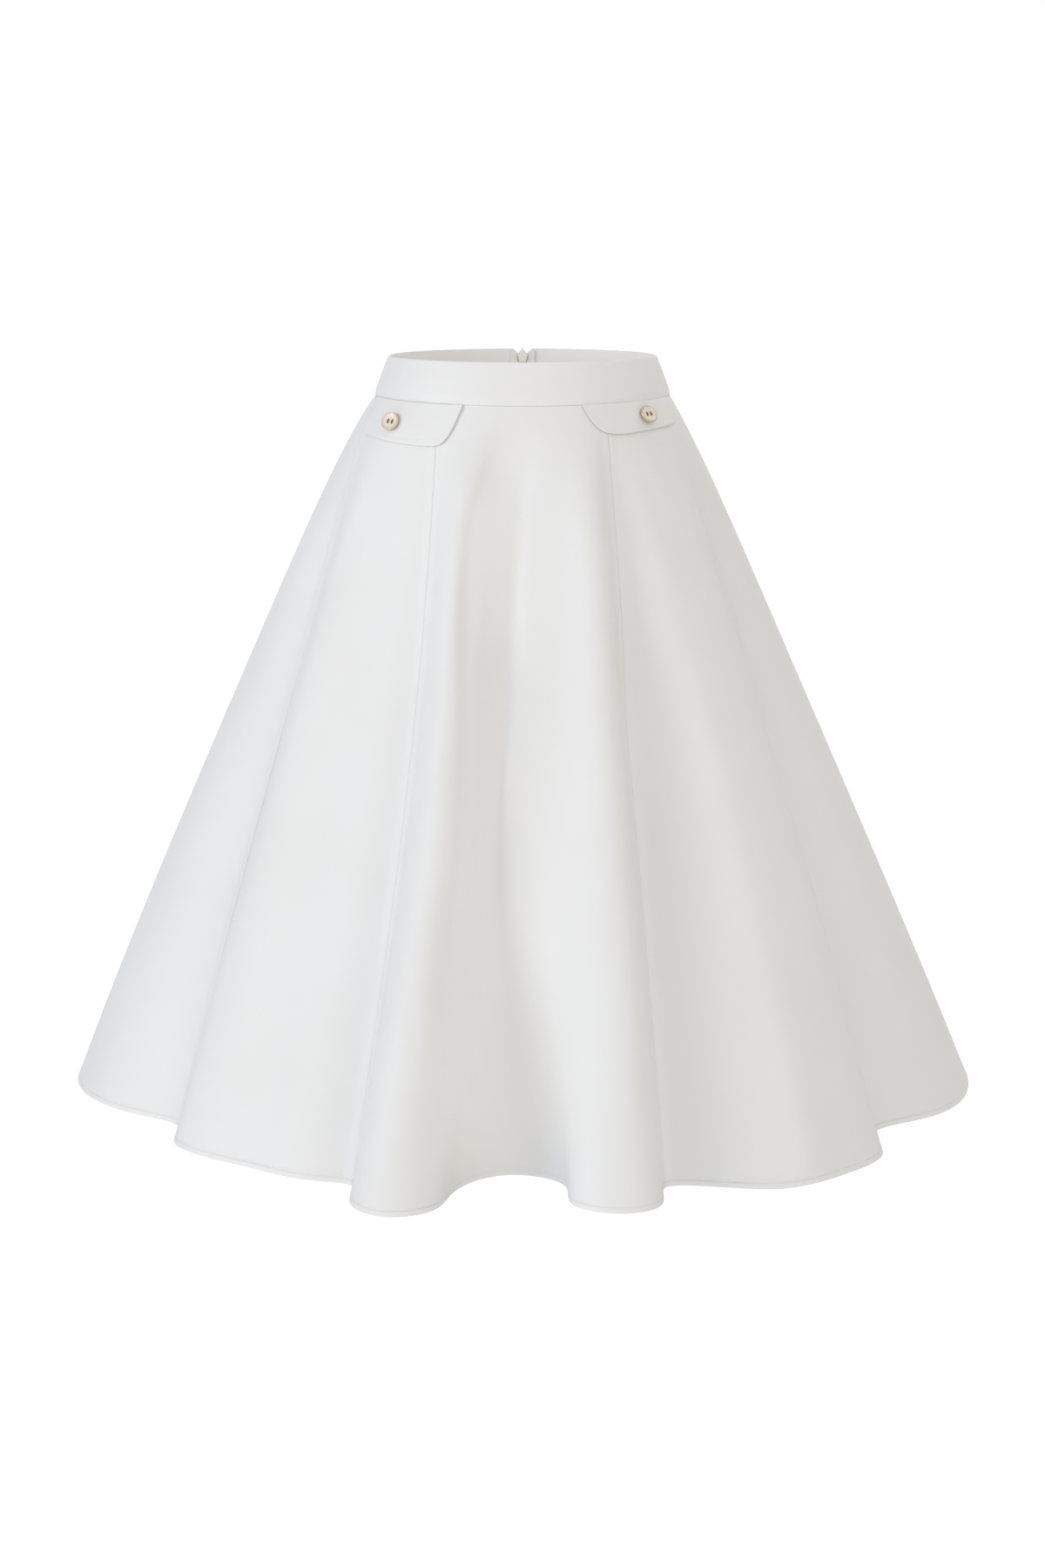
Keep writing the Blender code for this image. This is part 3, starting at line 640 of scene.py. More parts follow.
def face_slopes(place, level):
    """How the face moves with hem length and with level, each for one unit."""
    place, level = together(place, level)
    along = (face(place + SLOPE_STEP, level) - face(place - SLOPE_STEP, level)) / (2 * SLOPE_STEP)
    rise = np.where(level < 0.5, SLOPE_RISE_HIGH, SLOPE_RISE_LOW)
    down = (face(place, level + rise) - face(place, level - rise)) / (2 * rise[..., None])
    return along, down


def outward_normal(place, level):
    along, down = face_slopes(place, level)
    normal = np.cross(down, along)
    return normal / np.linalg.norm(normal, axis=-1, keepdims=True)


def lifted(place, level, lift):
    """Points of the face moved out by lift, or in where it is negative."""
    place, level = together(place, level)
    normal = outward_normal(place, level)
    lift = np.broadcast_to(np.asarray(lift, float), normal.shape[:-1])
    return face(place, level) + normal * lift[..., None]


def level_of_height(height):
    """The level that has this height at the centre back."""
    below = SEAM_Z - np.asarray(height, float)
    return np.where(below < 0, below / BAND_HEIGHT, below / PANEL_DROP)


def height_of_level(level):
    return SEAM_Z - level * np.where(level < 0, BAND_HEIGHT, PANEL_DROP)


def length_along(place, level):
    """Metres along the cloth for one metre of hem, at that level."""
    return np.linalg.norm(face_slopes(place, level)[0], axis=-1)


def length_down(place, level):
    """Metres down the cloth for one unit of level."""
    return np.linalg.norm(face_slopes(place, level)[1], axis=-1)


def place_of_turn(degrees):
    """The place that meets the waist seam at these degrees round."""
    places = np.linspace(-HEM_LENGTH / 2, HEM_LENGTH * 1.5, 8001)
    return np.interp(degrees, WAIST_TURN(places), places)


def frame_at(place, level, lift):
    """A frame on the face: X along the cloth, Y up it and Z out of it."""
    place = np.array(place, float)
    level = np.array(level, float)
    _, down = face_slopes(place, level)
    out = Vector(outward_normal(place, level))
    up = -Vector(down)
    up = (up - out * up.dot(out)).normalized()
    across = up.cross(out).normalized()
    turn = Matrix((across, up, out)).transposed().to_4x4()
    return Matrix.Translation(Vector(lifted(place, level, lift))) @ turn


# Materials

def new_material(name, colour, roughness, **inputs):
    """A material and its shader, with these constants set."""
    made = bpy.data.materials.new(name)
    made.use_nodes = True
    shader = made.node_tree.nodes["Principled BSDF"]
    shader.inputs["Base Color"].default_value = (*colour, 1.0)
    shader.inputs["Roughness"].default_value = roughness
    for key, value in inputs.items():
        shader.inputs[key.replace("_", " ")].default_value = value
    return made, shader


def add_node(material, kind, **settings):
    node = material.node_tree.nodes.new(kind)
    for key, value in settings.items():
        if key in node.inputs:
            node.inputs[key].default_value = value
        else:
            setattr(node, key, value)
    return node


def link(material, source, target):
    material.node_tree.links.new(source, target)


def ramp(material, source, low, high, start, end):
    """A colour that runs from low to high as the source does from start to end."""
    node = add_node(material, "ShaderNodeValToRGB")
    node.color_ramp.elements[0].position = start
    node.color_ramp.elements[0].color = (*low, 1.0)
    node.color_ramp.elements[1].position = end
    node.color_ramp.elements[1].color = (*high, 1.0)
    link(material, source, node.inputs["Fac"])
    return node.outputs["Color"]


def between(material, source, low, high):
    """A number that runs from low to high as the source runs from 0 to 1."""
    node = add_node(material, "ShaderNodeMapRange")
    node.inputs["To Min"].default_value = low
    node.inputs["To Max"].default_value = high
    link(material, source, node.inputs["Value"])
    return node.outputs["Result"]


def noise(material, coordinates, scale, detail, roughness=0.5):
    node = add_node(material, "ShaderNodeTexNoise", Scale=scale, Detail=detail, Roughness=roughness)
    link(material, coordinates, node.inputs["Vector"])
    return node.outputs["Fac"]


def threads(material, coordinates, direction, pitch):
    """Parallel threads this far apart, across the cloth's X or Y."""
    node = add_node(
        material, "ShaderNodeTexWave", wave_type="BANDS", bands_direction=direction, wave_profile="SIN",
        Scale=math.pi / (10 * pitch), Distortion=0.0,
    )
    link(material, coordinates, node.inputs["Vector"])
    return node.outputs["Fac"]


def bump(material, height, distance, strength=1.0, below=None):
    node = add_node(material, "ShaderNodeBump")
    node.inputs["Distance"].default_value = distance
    node.inputs["Strength"].default_value = strength
    link(material, height, node.inputs["Height"])
    if below is not None:
        link(material, below, node.inputs["Normal"])
    return node.outputs["Normal"]


def shade(colour, share):
    return tuple(share * c for c in colour)


def cloth_material(name, colour, deeper):
    """Smooth, firm sateen: fine weft threads, a faint cloudiness and a soft sheen."""
    made, shader = new_material(
        name, colour, 0.52, Sheen_Weight=0.12, Sheen_Roughness=0.45, Specular_IOR_Level=0.42
    )
    cloth = add_node(made, "ShaderNodeUVMap", uv_map="cloth").outputs["UV"]
    space = add_node(made, "ShaderNodeTexCoord").outputs["Object"]
    clouds = noise(made, space, 9.0, 3.0)
    link(made, ramp(made, clouds, deeper, colour, 0.3, 0.62), shader.inputs["Base Color"])
    slubs = noise(made, cloth, 240.0, 2.0)
    link(made, between(made, slubs, 0.46, 0.58), shader.inputs["Roughness"])
    weft = threads(made, cloth, "Y", 0.00042)
    warp = threads(made, cloth, "X", 0.00055)
    ground = bump(made, clouds, 0.0006, 0.6)
    grain = bump(made, slubs, 0.00006, 0.7, below=ground)
    woven = bump(made, weft, 0.00003, 0.5, below=grain)
    link(made, bump(made, warp, 0.00002, 0.4, below=woven), shader.inputs["Normal"])
    return made


def tape_material(name, colour):
    """Woven zip tape, with ribs that run along it."""
    made, shader = new_material(name, colour, 0.8, Sheen_Weight=0.2)
    cloth = add_node(made, "ShaderNodeUVMap", uv_map="cloth").outputs["UV"]
    ribs = threads(made, cloth, "X", 0.0009)
    picks = threads(made, cloth, "Y", 0.0006)
    link(made, ramp(made, ribs, shade(colour, 0.95), colour, 0.1, 0.7), shader.inputs["Base Color"])
    ribbed = bump(made, ribs, 0.00015, 0.7)
    link(made, bump(made, picks, 0.00005, 0.6, below=ribbed), shader.inputs["Normal"])
    return made


def mottled_material(name, colour, tones, spots, relief, roughness, worn=None, **inputs):
    """A surface with fine spots, in colour, in relief and, where worn is given, in roughness.

    tones is the low and the high colour and where the ramp between them starts and ends, spots the scale
    and detail of the noise, and relief its depth and strength.
    """
    made, shader = new_material(name, colour, roughness, **inputs)
    space = add_node(made, "ShaderNodeTexCoord").outputs["Object"]
    source = noise(made, space, *spots)
    link(made, ramp(made, source, *tones), shader.inputs["Base Color"])
    if worn:
        link(made, between(made, source, *worn), shader.inputs["Roughness"])
    link(made, bump(made, source, *relief), shader.inputs["Normal"])
    return made


def thread_material(name, colour):
    """Twisted sewing thread."""
    tones = (shade(colour, 0.86), colour, 0.35, 0.65)
    return mottled_material(name, colour, tones, (2600.0, 1.0), (0.00005, 0.5), 0.55, Sheen_Weight=0.15)


def metal_material(name, colour, roughness):
    """Plated metal with fine handling wear."""
    tones = (shade(colour, 0.78), colour, 0.35, 0.6)
    worn = (roughness + 0.14, roughness - 0.06)
    return mottled_material(
        name, colour, tones, (900.0, 4.0, 0.65), (0.00002, 0.3), roughness, worn, Metallic=0.85
    )


def enamel_material(name, colour):
    """Enamelled zip metal: even, softly glossy, with slightly thinner paint where it is handled."""
    tones = (shade(colour, 0.9), colour, 0.3, 0.55)
    return mottled_material(
        name, colour, tones, (700.0, 3.0), (0.00003, 0.35), 0.42, (0.5, 0.36),
        Coat_Weight=0.2, Coat_Roughness=0.25,
    )


def pearl_material(name):
    """Pale pink-cream shell, a little cloudy, under a clear polish."""
    tones = ((0.80, 0.68, 0.56), (0.90, 0.82, 0.74), 0.35, 0.7)
    return mottled_material(
        name, (0.86, 0.76, 0.66), tones, (320.0, 3.0), (0.00004, 0.3), 0.3, (0.24, 0.38),
        Coat_Weight=0.35, Coat_Roughness=0.12, Specular_IOR_Level=0.55,
    )


IVORY = cloth_material("ivory_sateen", (0.832, 0.832, 0.822), (0.814, 0.812, 0.798))
THREAD = thread_material("ivory_thread", (0.80, 0.79, 0.765))
TAPE = tape_material("zip_tape_weave", (0.88, 0.875, 0.86))
PEARL = pearl_material("button_pearl")
GOLD = metal_material("button_gold", (0.78, 0.65, 0.45), 0.34)
BROWN = thread_material("button_thread", (0.15, 0.095, 0.045))
ENAMEL = enamel_material("zip_enamel_paint", (0.87, 0.86, 0.835))
COIL = enamel_material("zip_coil_nylon", (0.80, 0.79, 0.76))
# Dark brass of the slider's flange: painted shadow standing for the gap along the slider's edge.
SHADOW_LINE_BRASS = metal_material("zip_brass_painted_shadow", (0.28, 0.26, 0.19), 0.42)


# Pieces

def add_piece(name, form, surface, nodes=(), body="skirt", uv=None):
    """A mesh piece that rides on a body and stands for these nodes. uv holds a pair for each vertex."""
    vertices, faces = form
    mesh = bpy.data.meshes.new(name)
    mesh.from_pydata([tuple(v) for v in vertices], [], [tuple(f) for f in faces])
    mesh.materials.append(surface)
    if uv is not None:
        corners = np.empty(len(mesh.loops), dtype=np.int32)
        mesh.loops.foreach_get("vertex_index", corners)
        layer = mesh.uv_layers.new(name="cloth")
        layer.uv.foreach_set("vector", np.asarray(uv, np.float32)[corners].ravel())
    mesh.shade_smooth()
    mesh.update()
    obj = bpy.data.objects.new(name, mesh)
    bpy.context.scene.collection.objects.link(obj)
    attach(obj, body)
    if nodes:
        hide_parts(*nodes)
    return obj


def cloth_lengths(grid):
    """Cloth coordinates in metres for a grid of points: across from its middle column, and down."""
    across = np.linalg.norm(np.diff(grid, axis=0), axis=-1)
    across = np.concatenate([np.zeros((1, grid.shape[1])), np.cumsum(across, axis=0)])
    across -= across[len(grid) // 2]
    down = np.linalg.norm(np.diff(grid, axis=1), axis=-1)
    down = np.concatenate([np.zeros((grid.shape[0], 1)), np.cumsum(down, axis=1)], axis=1)
    return np.stack([across, down], axis=-1)


def shell(name, outer, inner, surface, nodes=()):
    """A closed sheet between two grids of points with the same columns and levels."""
    columns, levels = outer.shape[:2]
    uv = cloth_lengths(outer).reshape(-1, 2)
    i, j = np.meshgrid(np.arange(columns - 1), np.arange(levels - 1), indexing="ij")
    i, j = i.ravel(), j.ravel()
    corner = i * levels + j
    shift = columns * levels
    out = np.stack([corner, corner + 1, corner + levels + 1, corner + levels], axis=1)
    inn = np.stack([corner, corner + levels, corner + levels + 1, corner + 1], axis=1) + shift
    rim = [(k, 0) for k in range(columns)]
    rim += [(columns - 1, k) for k in range(1, levels)]
    rim += [(k, levels - 1) for k in range(columns - 2, -1, -1)]
    rim += [(0, k) for k in range(levels - 2, 0, -1)]
    ring = np.array([k * levels + m for k, m in rim])
    after = np.roll(ring, -1)
    edge = np.stack([ring, after, after + shift, ring + shift], axis=1)
    vertices = np.concatenate([outer.reshape(-1, 3), inner.reshape(-1, 3)])
    faces = np.concatenate([out, inn, edge]).tolist()
    return add_piece(name, (vertices, faces), surface, nodes, uv=np.concatenate([uv, uv]))


def columns_between(start, end, level, first_steps, last_steps, step):
    """Places of columns on each level: at fixed distances from both ends, and even between them."""
    first = start + first_steps / length_along(start, level)[None]
    last = end - last_steps[::-1] / length_along(end, level)[None]
    count = int(round((end - start) / step))
    share = np.linspace(0, 1, count + 2)[1:-1, None]
    middle = first[-1] + (last[0] - first[-1]) * share
    return np.concatenate([first, middle, last])


def seam_lift(distance, run, phase):
    """Lift of the outer face near a seam, by the distance from it and the run along it."""
    dip = -SEAM_DIP * bell(distance, SEAM_DIP_WIDTH)
    ridge = SEAM_RIDGE * ends_at(distance, PRESSED_WIDTH, PRESSED_EDGE)
    pucker = SEAM_PUCKER * wobble(run, SEAM_PUCKER_LENGTH, phase) * bell(distance, PUCKER_WIDTH)
    return dip + ridge + pucker


def crease_lift(place, level):
    """Lift of the cloth in the listed creases and dents."""
    width = length_along(place, level)
    height = length_down(place, level)
    total = np.zeros(place.shape)
    for _, places, levels, lift, before, after in CREASES:
        line = np.interp(level, levels, places)
        away = (place - line) * width
        reach = np.where(away < 0, before, after)
        down = (level - levels[0]) / (levels[-1] - levels[0])
        begun = smooth_step(down, -CREASE_TAPER, CREASE_TAPER)
        ended = smooth_step(down, 1 - CREASE_TAPER, 1 + CREASE_TAPER)
        total += lift * begun * (1 - ended) * bell(away, reach)
    for _, centre, middle, lift, half_width, half_height in DENTS:
        across = (place - centre) * width / half_width
        down = (level - middle) * height / half_height
        total += lift * np.exp(-(across**2) - down**2)
    return total * smooth_step(level, 0.0, CREASE_START)


def hem_lift(height, place):
    """Lift of the outer face near the hem, by the height above its edge."""
    puff = HEM_PUFF * (1 - smooth_step(height, *HEM_PUFF_EDGES))
    above = height - HEM_STITCH_HEIGHT
    dip = -HEM_STITCH_DIP * bell(above, HEM_STITCH_WIDTH)
    wave = HEM_PUCKER * wobble(place, HEM_PUCKER_LENGTH, HEM_PUCKER_PHASE)
    pucker = wave * bell(above, PUCKER_WIDTH)
    return -round_over(height, EDGE_ROUND) + puff + dip + pucker


def cloth_panel(name, first, last):
    """One flared panel of cloth, with its seam edges, turned hem and the allowances inside."""
    start, end = ROW_AT[first], ROW_AT[last]
    if end < start:
        end += HEM_LENGTH
    middle = (start + end) / 2
    length = length_down(middle, 0.5)
    top_rows = WAIST_STEPS / length_down(middle, 0.0)
    hem_rows = 1 - HEM_STEPS[::-1] / length_down(middle, 1.0)
    count = int(round(length / ROW_STEP))
    level = np.concatenate([top_rows, np.linspace(top_rows[-1], hem_rows[0], count + 2)[1:-1], hem_rows])
    steps = SEAM_STEPS[:, None] + TOUCHING
    place = columns_between(start, end, level, steps, steps, COLUMN_STEP)
    level = np.broadcast_to(level[None], place.shape)
    from_start = (place - start) * length_along(start, level)
    from_end = (end - place) * length_along(end, level)
    below_waist = level * length_down(place, 0.0)
    above_hem = (1 - level) * length_down(place, 1.0)
    run = level * length
    lift = seam_lift(from_start, run, 2.0 * start) + seam_lift(from_end, run, 2.0 * end)
    lift += -WAIST_DIP * bell(below_waist, WAIST_DIP_WIDTH) + hem_lift(above_hem, place)
    crease = crease_lift(place, level)
    near_seam = np.minimum(from_start, from_end)
    allowance = ALLOWANCE_THICKNESS * ends_at(near_seam, ALLOWANCE_WIDTH, ALLOWANCE_EDGE)
    folded = HEM_INSIDE * (1 - smooth_step(above_hem, HEM_TURN, HEM_TURN + HEM_TURN_EDGE))
    inside = -CLOTH - np.maximum(allowance, folded) + round_over(above_hem, EDGE_ROUND)
    outer = lifted(place, level, crease + lift)
    inner = lifted(place, level, crease + inside)
    return shell(name + "_cloth", outer, inner, IVORY, nodes=[name])


def band_gap(level):
    """Half the gap between the band's two back ends, at that level."""
    heights, gaps = np.array(BAND_END_ROWS).T
    return np.interp(-height_of_level(level), -heights, gaps)


def waistband(name, start, end, notch):
    """A stretch of the waistband. notch is 1 or -1 where its first or last end stands at the centre back."""
    start, end = float(place_of_turn(start)), float(place_of_turn(end))
    middle = np.linspace(BAND_STEPS[-1], BAND_HEIGHT - BAND_STEPS[-1], BAND_LEVELS)[1:-1]
    rows = np.concatenate([BAND_STEPS, middle, BAND_HEIGHT - BAND_STEPS[::-1]])
    level = -1 + rows / BAND_HEIGHT
    level[-1] = -TOUCHING / BAND_HEIGHT
    gap = band_gap(level)[None]
    plain = BAND_STEPS[:, None] + TOUCHING + 0 * gap
    open_end = BAND_STEPS[:, None] + gap
    first = open_end if notch == 1 else plain
    last = open_end if notch == -1 else plain
    place = columns_between(start, end, level, first, last, BAND_COLUMN_STEP)
    from_start = (place - start) * length_along(start, level[None]) - first[:1]
    from_end = (end - place) * length_along(end, level[None]) - last[:1]
    level = np.broadcast_to(level[None], place.shape)
    from_top = (level + 1) * BAND_HEIGHT
    from_seam = -level * BAND_HEIGHT
    near_end = np.minimum(from_start, from_end)
    end_round = round_over(near_end, BAND_END_ROUND)
    if notch:
        at_notch = near_end == (from_start if notch == 1 else from_end)
        end_round = np.where(at_notch, round_over(near_end, BAND_ROUND), end_round)
    fall = np.maximum(end_round, round_over(from_top, BAND_ROUND))
    crown = BAND_CROWN * np.sin(math.pi * np.clip(from_top / BAND_HEIGHT, 0, 1))
    pressed = BAND_SEAM_PRESS * (1 - smooth_step(from_seam, 0.0, BAND_SEAM_WIDTH))
    outer_fall = np.maximum(fall, round_over(from_seam, BAND_LOWER_ROUND))
    outer = lifted(place, level, BAND_OUTER + crown - pressed - outer_fall)
    inner = lifted(place, level, BAND_INNER + fall)
    return shell(name + "_cloth", outer, inner, IVORY, nodes=[name])


def flap_edge(side):
    """The flap's free edge as a fine line: degrees round at the waist and drop in metres."""
    turns, left, right = np.array(FLAP_ROWS).T
    drops = (left if side < 0 else right) / 1000
    metres = np.array([turns * FLAP_DEGREE, drops]).T
    steps = np.concatenate([[0], np.cumsum(np.linalg.norm(np.diff(metres, axis=0), axis=1))])
    fine = np.linspace(0, steps[-1], FLAP_EDGE_POINTS)
    curve = open_spline(steps, np.stack([turns, drops], axis=1), fine)
    return curve[:, 0], curve[:, 1]


def flap_drop(side, degrees):
    turns, drops = flap_edge(side)
    return np.interp(degrees, turns, drops)


def flap_lift(share):
    """How far the flap's under side stands off the panel, by the share of the way to its free edge."""
    return FLAP_GAP + FLAP_EDGE_LIFT * share**2


def pocket_flap(name, side):
    """A doubled flap of cloth that lies on the panels, with a rolled edge."""
    first, last = FLAP_ROWS[0][0], FLAP_ROWS[-1][0]
    degrees = first + (last - first) * np.linspace(0, 1, FLAP_COLUMNS)[:, None] ** FLAP_CROWDING
    down = 1 - (1 - np.linspace(0, 1, FLAP_LEVELS)[None]) ** FLAP_CROWDING
    drop = FLAP_TOP + (flap_drop(side, degrees) - FLAP_TOP) * down
    place, level = np.broadcast_arrays(place_of_turn(side * degrees), drop / PANEL_DROP)
    degrees = np.broadcast_to(degrees, drop.shape)
    turning = (WAIST_TURN(place + TURN_STEP) - WAIST_TURN(place - TURN_STEP)) / (2 * TURN_STEP)
    per_degree = length_along(place, level) / np.abs(turning)
    turns, drops = flap_edge(side)
    across = (degrees[..., None] - turns) * per_degree[..., None]
    to_edge = np.sqrt(across**2 + (drop[..., None] - drops) ** 2).min(axis=-1)
    to_edge = np.minimum(to_edge, (last - degrees) * per_degree)
    fall = round_over(to_edge, FLAP_ROUND)
    rim = FLAP_RIM * ends_at(to_edge, FLAP_RIM_WIDTH, FLAP_RIM_EDGE)
    puff = FLAP_PUFF * np.sin(math.pi * np.clip(down, 0, 1)) * smooth_step(to_edge, 0.0, FLAP_PUFF_EDGE)
    lift = flap_lift(down)
    outer = lifted(place, level, lift + FLAP_CLOTH + rim + puff - fall)
    inner = lifted(place, level, lift + FLAP_UNDER_ROUND * fall)
    if side < 0:
        outer, inner = outer[::-1], inner[::-1]
    return shell(name + "_cloth", outer, inner, IVORY, nodes=[name])


# Buttons

def lathe(profile, steps, closed):
    """Vertices and faces of a profile turned about Z. A closed profile is a ring's section."""
    vertices, rings = [], []
    for radius, height in profile:
        if radius == 0:
            rings.append([len(vertices)] * steps)
            vertices.append((0.0, 0.0, height))
            continue
        turns = [2 * math.pi * k / steps for k in range(steps)]
        rings.append(list(range(len(vertices), len(vertices) + steps)))
        vertices += [(radius * math.cos(a), radius * math.sin(a), height) for a in turns]
    pairs = list(zip(rings, rings[1:]))
    if closed:
        pairs.append((rings[-1], rings[0]))
    faces = []
    for low, high in pairs:
        for k in range(steps):
            after = (k + 1) % steps
            loop = [low[k], low[after], high[after], high[k]]
            kept = [v for m, v in enumerate(loop) if v not in loop[:m]]
            faces.append(kept)
    return vertices, faces


def place_piece(obj, matrix):
    """Puts a piece that was made about its own centre where it belongs, in its mesh."""
    obj.data.transform(matrix)
    obj.data.update()


def button_seat(side, degrees, drop, forwards, upwards):
    share = drop / flap_drop(side, degrees)
    tilt = -math.atan(2 * FLAP_EDGE_LIFT * share / flap_drop(side, degrees))
    lift = flap_lift(share) + FLAP_THICKNESS + BUTTON_STAND
    seat = frame_at(place_of_turn(side * degrees), drop / PANEL_DROP, lift)
    turn = Matrix.Rotation(-side * math.radians(forwards), 4, "Y")
    return seat @ Matrix.Rotation(tilt - math.radians(upwards), 4, "X") @ turn


def drill(obj, places, radius):
    """Cuts straight holes along Z through a mesh."""
    for x, y in places:
        form = bmesh.new()
        bmesh.ops.create_cone(form, cap_ends=True, segments=20, radius1=radius, radius2=radius, depth=0.02)
        bmesh.ops.translate(form, verts=form.verts, vec=(x, y, 0))
        mesh = bpy.data.meshes.new("drill")
        form.to_mesh(mesh)
        form.free()
        cutter = bpy.data.objects.new("drill", mesh)
        bpy.context.scene.collection.objects.link(cutter)
        modifier = obj.modifiers.new("hole", "BOOLEAN")
        modifier.operation = "DIFFERENCE"
        modifier.object = cutter
        bpy.context.view_layer.update()
        graph = bpy.context.evaluated_depsgraph_get()
        made = bpy.data.meshes.new_from_object(obj.evaluated_get(graph))
        obj.modifiers.clear()
        obj.data = made
        bpy.data.objects.remove(cutter)


def tube(points, radius, sides):
    """Vertices and faces of a closed round tube along a line of points."""
    points = [Vector(p) for p in points]
    vertices, faces = [], []
    side_way = None
    for k, point in enumerate(points):
        ahead = points[min(k + 1, len(points) - 1)] - points[max(k - 1, 0)]
        ahead.normalize()
        if side_way is None:
            side_way = ahead.orthogonal().normalized()
        side_way = (side_way - ahead * side_way.dot(ahead)).normalized()
        other = ahead.cross(side_way)
        for m in range(sides):
            turn = 2 * math.pi * m / sides
            vertices.append(point + (side_way * math.cos(turn) + other * math.sin(turn)) * radius)
    for k in range(len(points) - 1):
        for m in range(sides):
            after = (m + 1) % sides
            faces.append([k * sides + m, k * sides + after, (k + 1) * sides + after, (k + 1) * sides + m])
    last = (len(points) - 1) * sides
    faces.append(list(range(sides))[::-1])
    faces.append([last + m for m in range(sides)])
    return vertices, faces


def joined(parts):
    """Several lists of vertices and faces as one."""
    vertices, faces = [], []
    for some, loops in parts:
        base = len(vertices)
        vertices += [tuple(v) for v in some]
        faces += [[base + v for v in loop] for loop in loops]
    return vertices, faces


def sewing():
    """The thread through a button's holes, and the shank of thread that the button stands on."""
    turns = [math.pi * k / SEWING_STEPS for k in range(SEWING_STEPS + 1)]
    arch = [(-BUTTON_HOLE_Y * math.cos(a), SEWING_LOW + SEWING_ARCH * math.sin(a) ** 0.6) for a in turns]
    parts = []
    for x in (-BUTTON_HOLE_X, BUTTON_HOLE_X):
        for offset in SEWING_OFFSETS:
            parts.append(tube([(x + offset, y, z) for y, z in arch], SEWING_RADIUS, 6))
    shank = [(0.0, 0.0, SHANK_TOP), (0.0, 0.0, -BUTTON_STAND - SHANK_SINK)]
    parts.append(tube(shank, SHANK_RADIUS, 12))
    return joined(parts)


def button(name, side, degrees, drop, forwards, upwards):
    node = "button_" + name
    disc = lathe(PEARL_PROFILE, BUTTON_STEPS, closed=False)
    pearl = add_piece(node + "_pearl", disc, PEARL, [node])
    holes = [(x, y) for x in (-BUTTON_HOLE_X, BUTTON_HOLE_X) for y in (-BUTTON_HOLE_Y, BUTTON_HOLE_Y)]
    drill(pearl, holes, BUTTON_HOLE_RADIUS)
    pearl.data.shade_smooth()
    pearl.data.set_sharp_from_angle(angle=SHARP_ANGLE)
    ring = lathe(RIM_PROFILE, BUTTON_STEPS, closed=True)
    rim = add_piece(node + "_rim", ring, GOLD, [node])
    sewn = add_piece(node + "_thread", sewing(), BROWN)
    seat = button_seat(side, degrees, drop, forwards, upwards)
    for obj in (pearl, rim, sewn):
        place_piece(obj, seat)


# Zip

CENTRE_BACK = ROW_AT["centre_back_seam"]


def beside_centre(level, side, distance):
    return CENTRE_BACK - side * distance / length_along(np.full(np.shape(level), CENTRE_BACK), level)


def zip_tape(name, side):
    """One woven tape, inside the band and the back panel."""
    heights, gaps = np.array(TAPE_ROWS).T
    above = np.linspace(heights[0], heights[-3], TAPE_POINTS_ABOVE)
    below = np.linspace(TAPE_BELOW_TOP, heights[-1], TAPE_POINTS_BELOW)
    fine = np.concatenate([above, below])
    gap = np.interp(-fine, -heights, gaps)
    level = level_of_height(fine)
    share = np.linspace(0, 1, TAPE_COLUMNS)[:, None]
    across = gap[None] + (TAPE_WIDTH - gap[None]) * share
    level = np.broadcast_to(level[None], across.shape)
    place = beside_centre(level, side, across)
    top = -CLOTH - SEAM_GAP
    outer, inner = lifted(place, level, top), lifted(place, level, top - TAPE_THICKNESS)
    if side > 0:
        outer, inner = outer[::-1], inner[::-1]
    node = "zip_tape_" + name
    return shell(node + "_cloth", outer, inner, TAPE, nodes=[node])


def zip_coil():
    """The two rows of nylon loops that hold each other, below the slider, on the inner side of the tapes."""
    turns = [math.pi * (k / 6 - 0.5) for k in range(7)]
    under = -CLOTH - SEAM_GAP - TAPE_THICKNESS - COIL_UNDER
    parts = []
    for k in range(int((COIL_TOP - COIL_END) / COIL_PITCH)):
        for side in (-1, 1):
            height = COIL_TOP - COIL_PITCH * (k + 0.25 * side)
            spot = frame_at(CENTRE_BACK, level_of_height(height), under)
            line = []
            for turn in turns:
                reach = side * (COIL_REACH - (COIL_REACH + COIL_OVERLAP) * math.cos(turn))
                line.append(spot @ Vector((reach, COIL_RISE * math.sin(turn), COIL_DEPTH * math.sin(turn))))
            parts.append(tube(line, COIL_RADIUS, 5))
    add_piece("zip_coil", joined(parts), COIL)


def plate(outline, low, high, axis="Z"):
    """A bmesh of an outline extruded along Z from low to high, or along X for an outline of up and out."""
    form = bmesh.new()
    if axis == "Z":
        corners = [(across, up, low) for across, up in outline]
        move = (0, 0, high - low)
    else:
        corners = [(low, up, out) for up, out in outline]
        move = (high - low, 0, 0)
    base = form.faces.new([form.verts.new(corner) for corner in corners])
    made = bmesh.ops.extrude_face_region(form, geom=[base])
    moved = [item for item in made["geom"] if isinstance(item, bmesh.types.BMVert)]
    bmesh.ops.translate(form, verts=moved, vec=move)
    bmesh.ops.recalc_face_normals(form, faces=form.faces)
    return form


def soft_edges(form, width):
    edges = [e for e in form.edges if e.calc_face_angle(0) > math.radians(30)]
    bmesh.ops.bevel(
        form, geom=edges, offset=width, segments=3, profile=0.5, affect="EDGES", clamp_overlap=True
    )


def lists_of(form):
    form.verts.index_update()
    return [v.co.copy() for v in form.verts], [[v.index for v in f.verts] for f in form.faces]


def slider_seat():
    return frame_at(CENTRE_BACK, level_of_height(SLIDER_Z), 0.0)


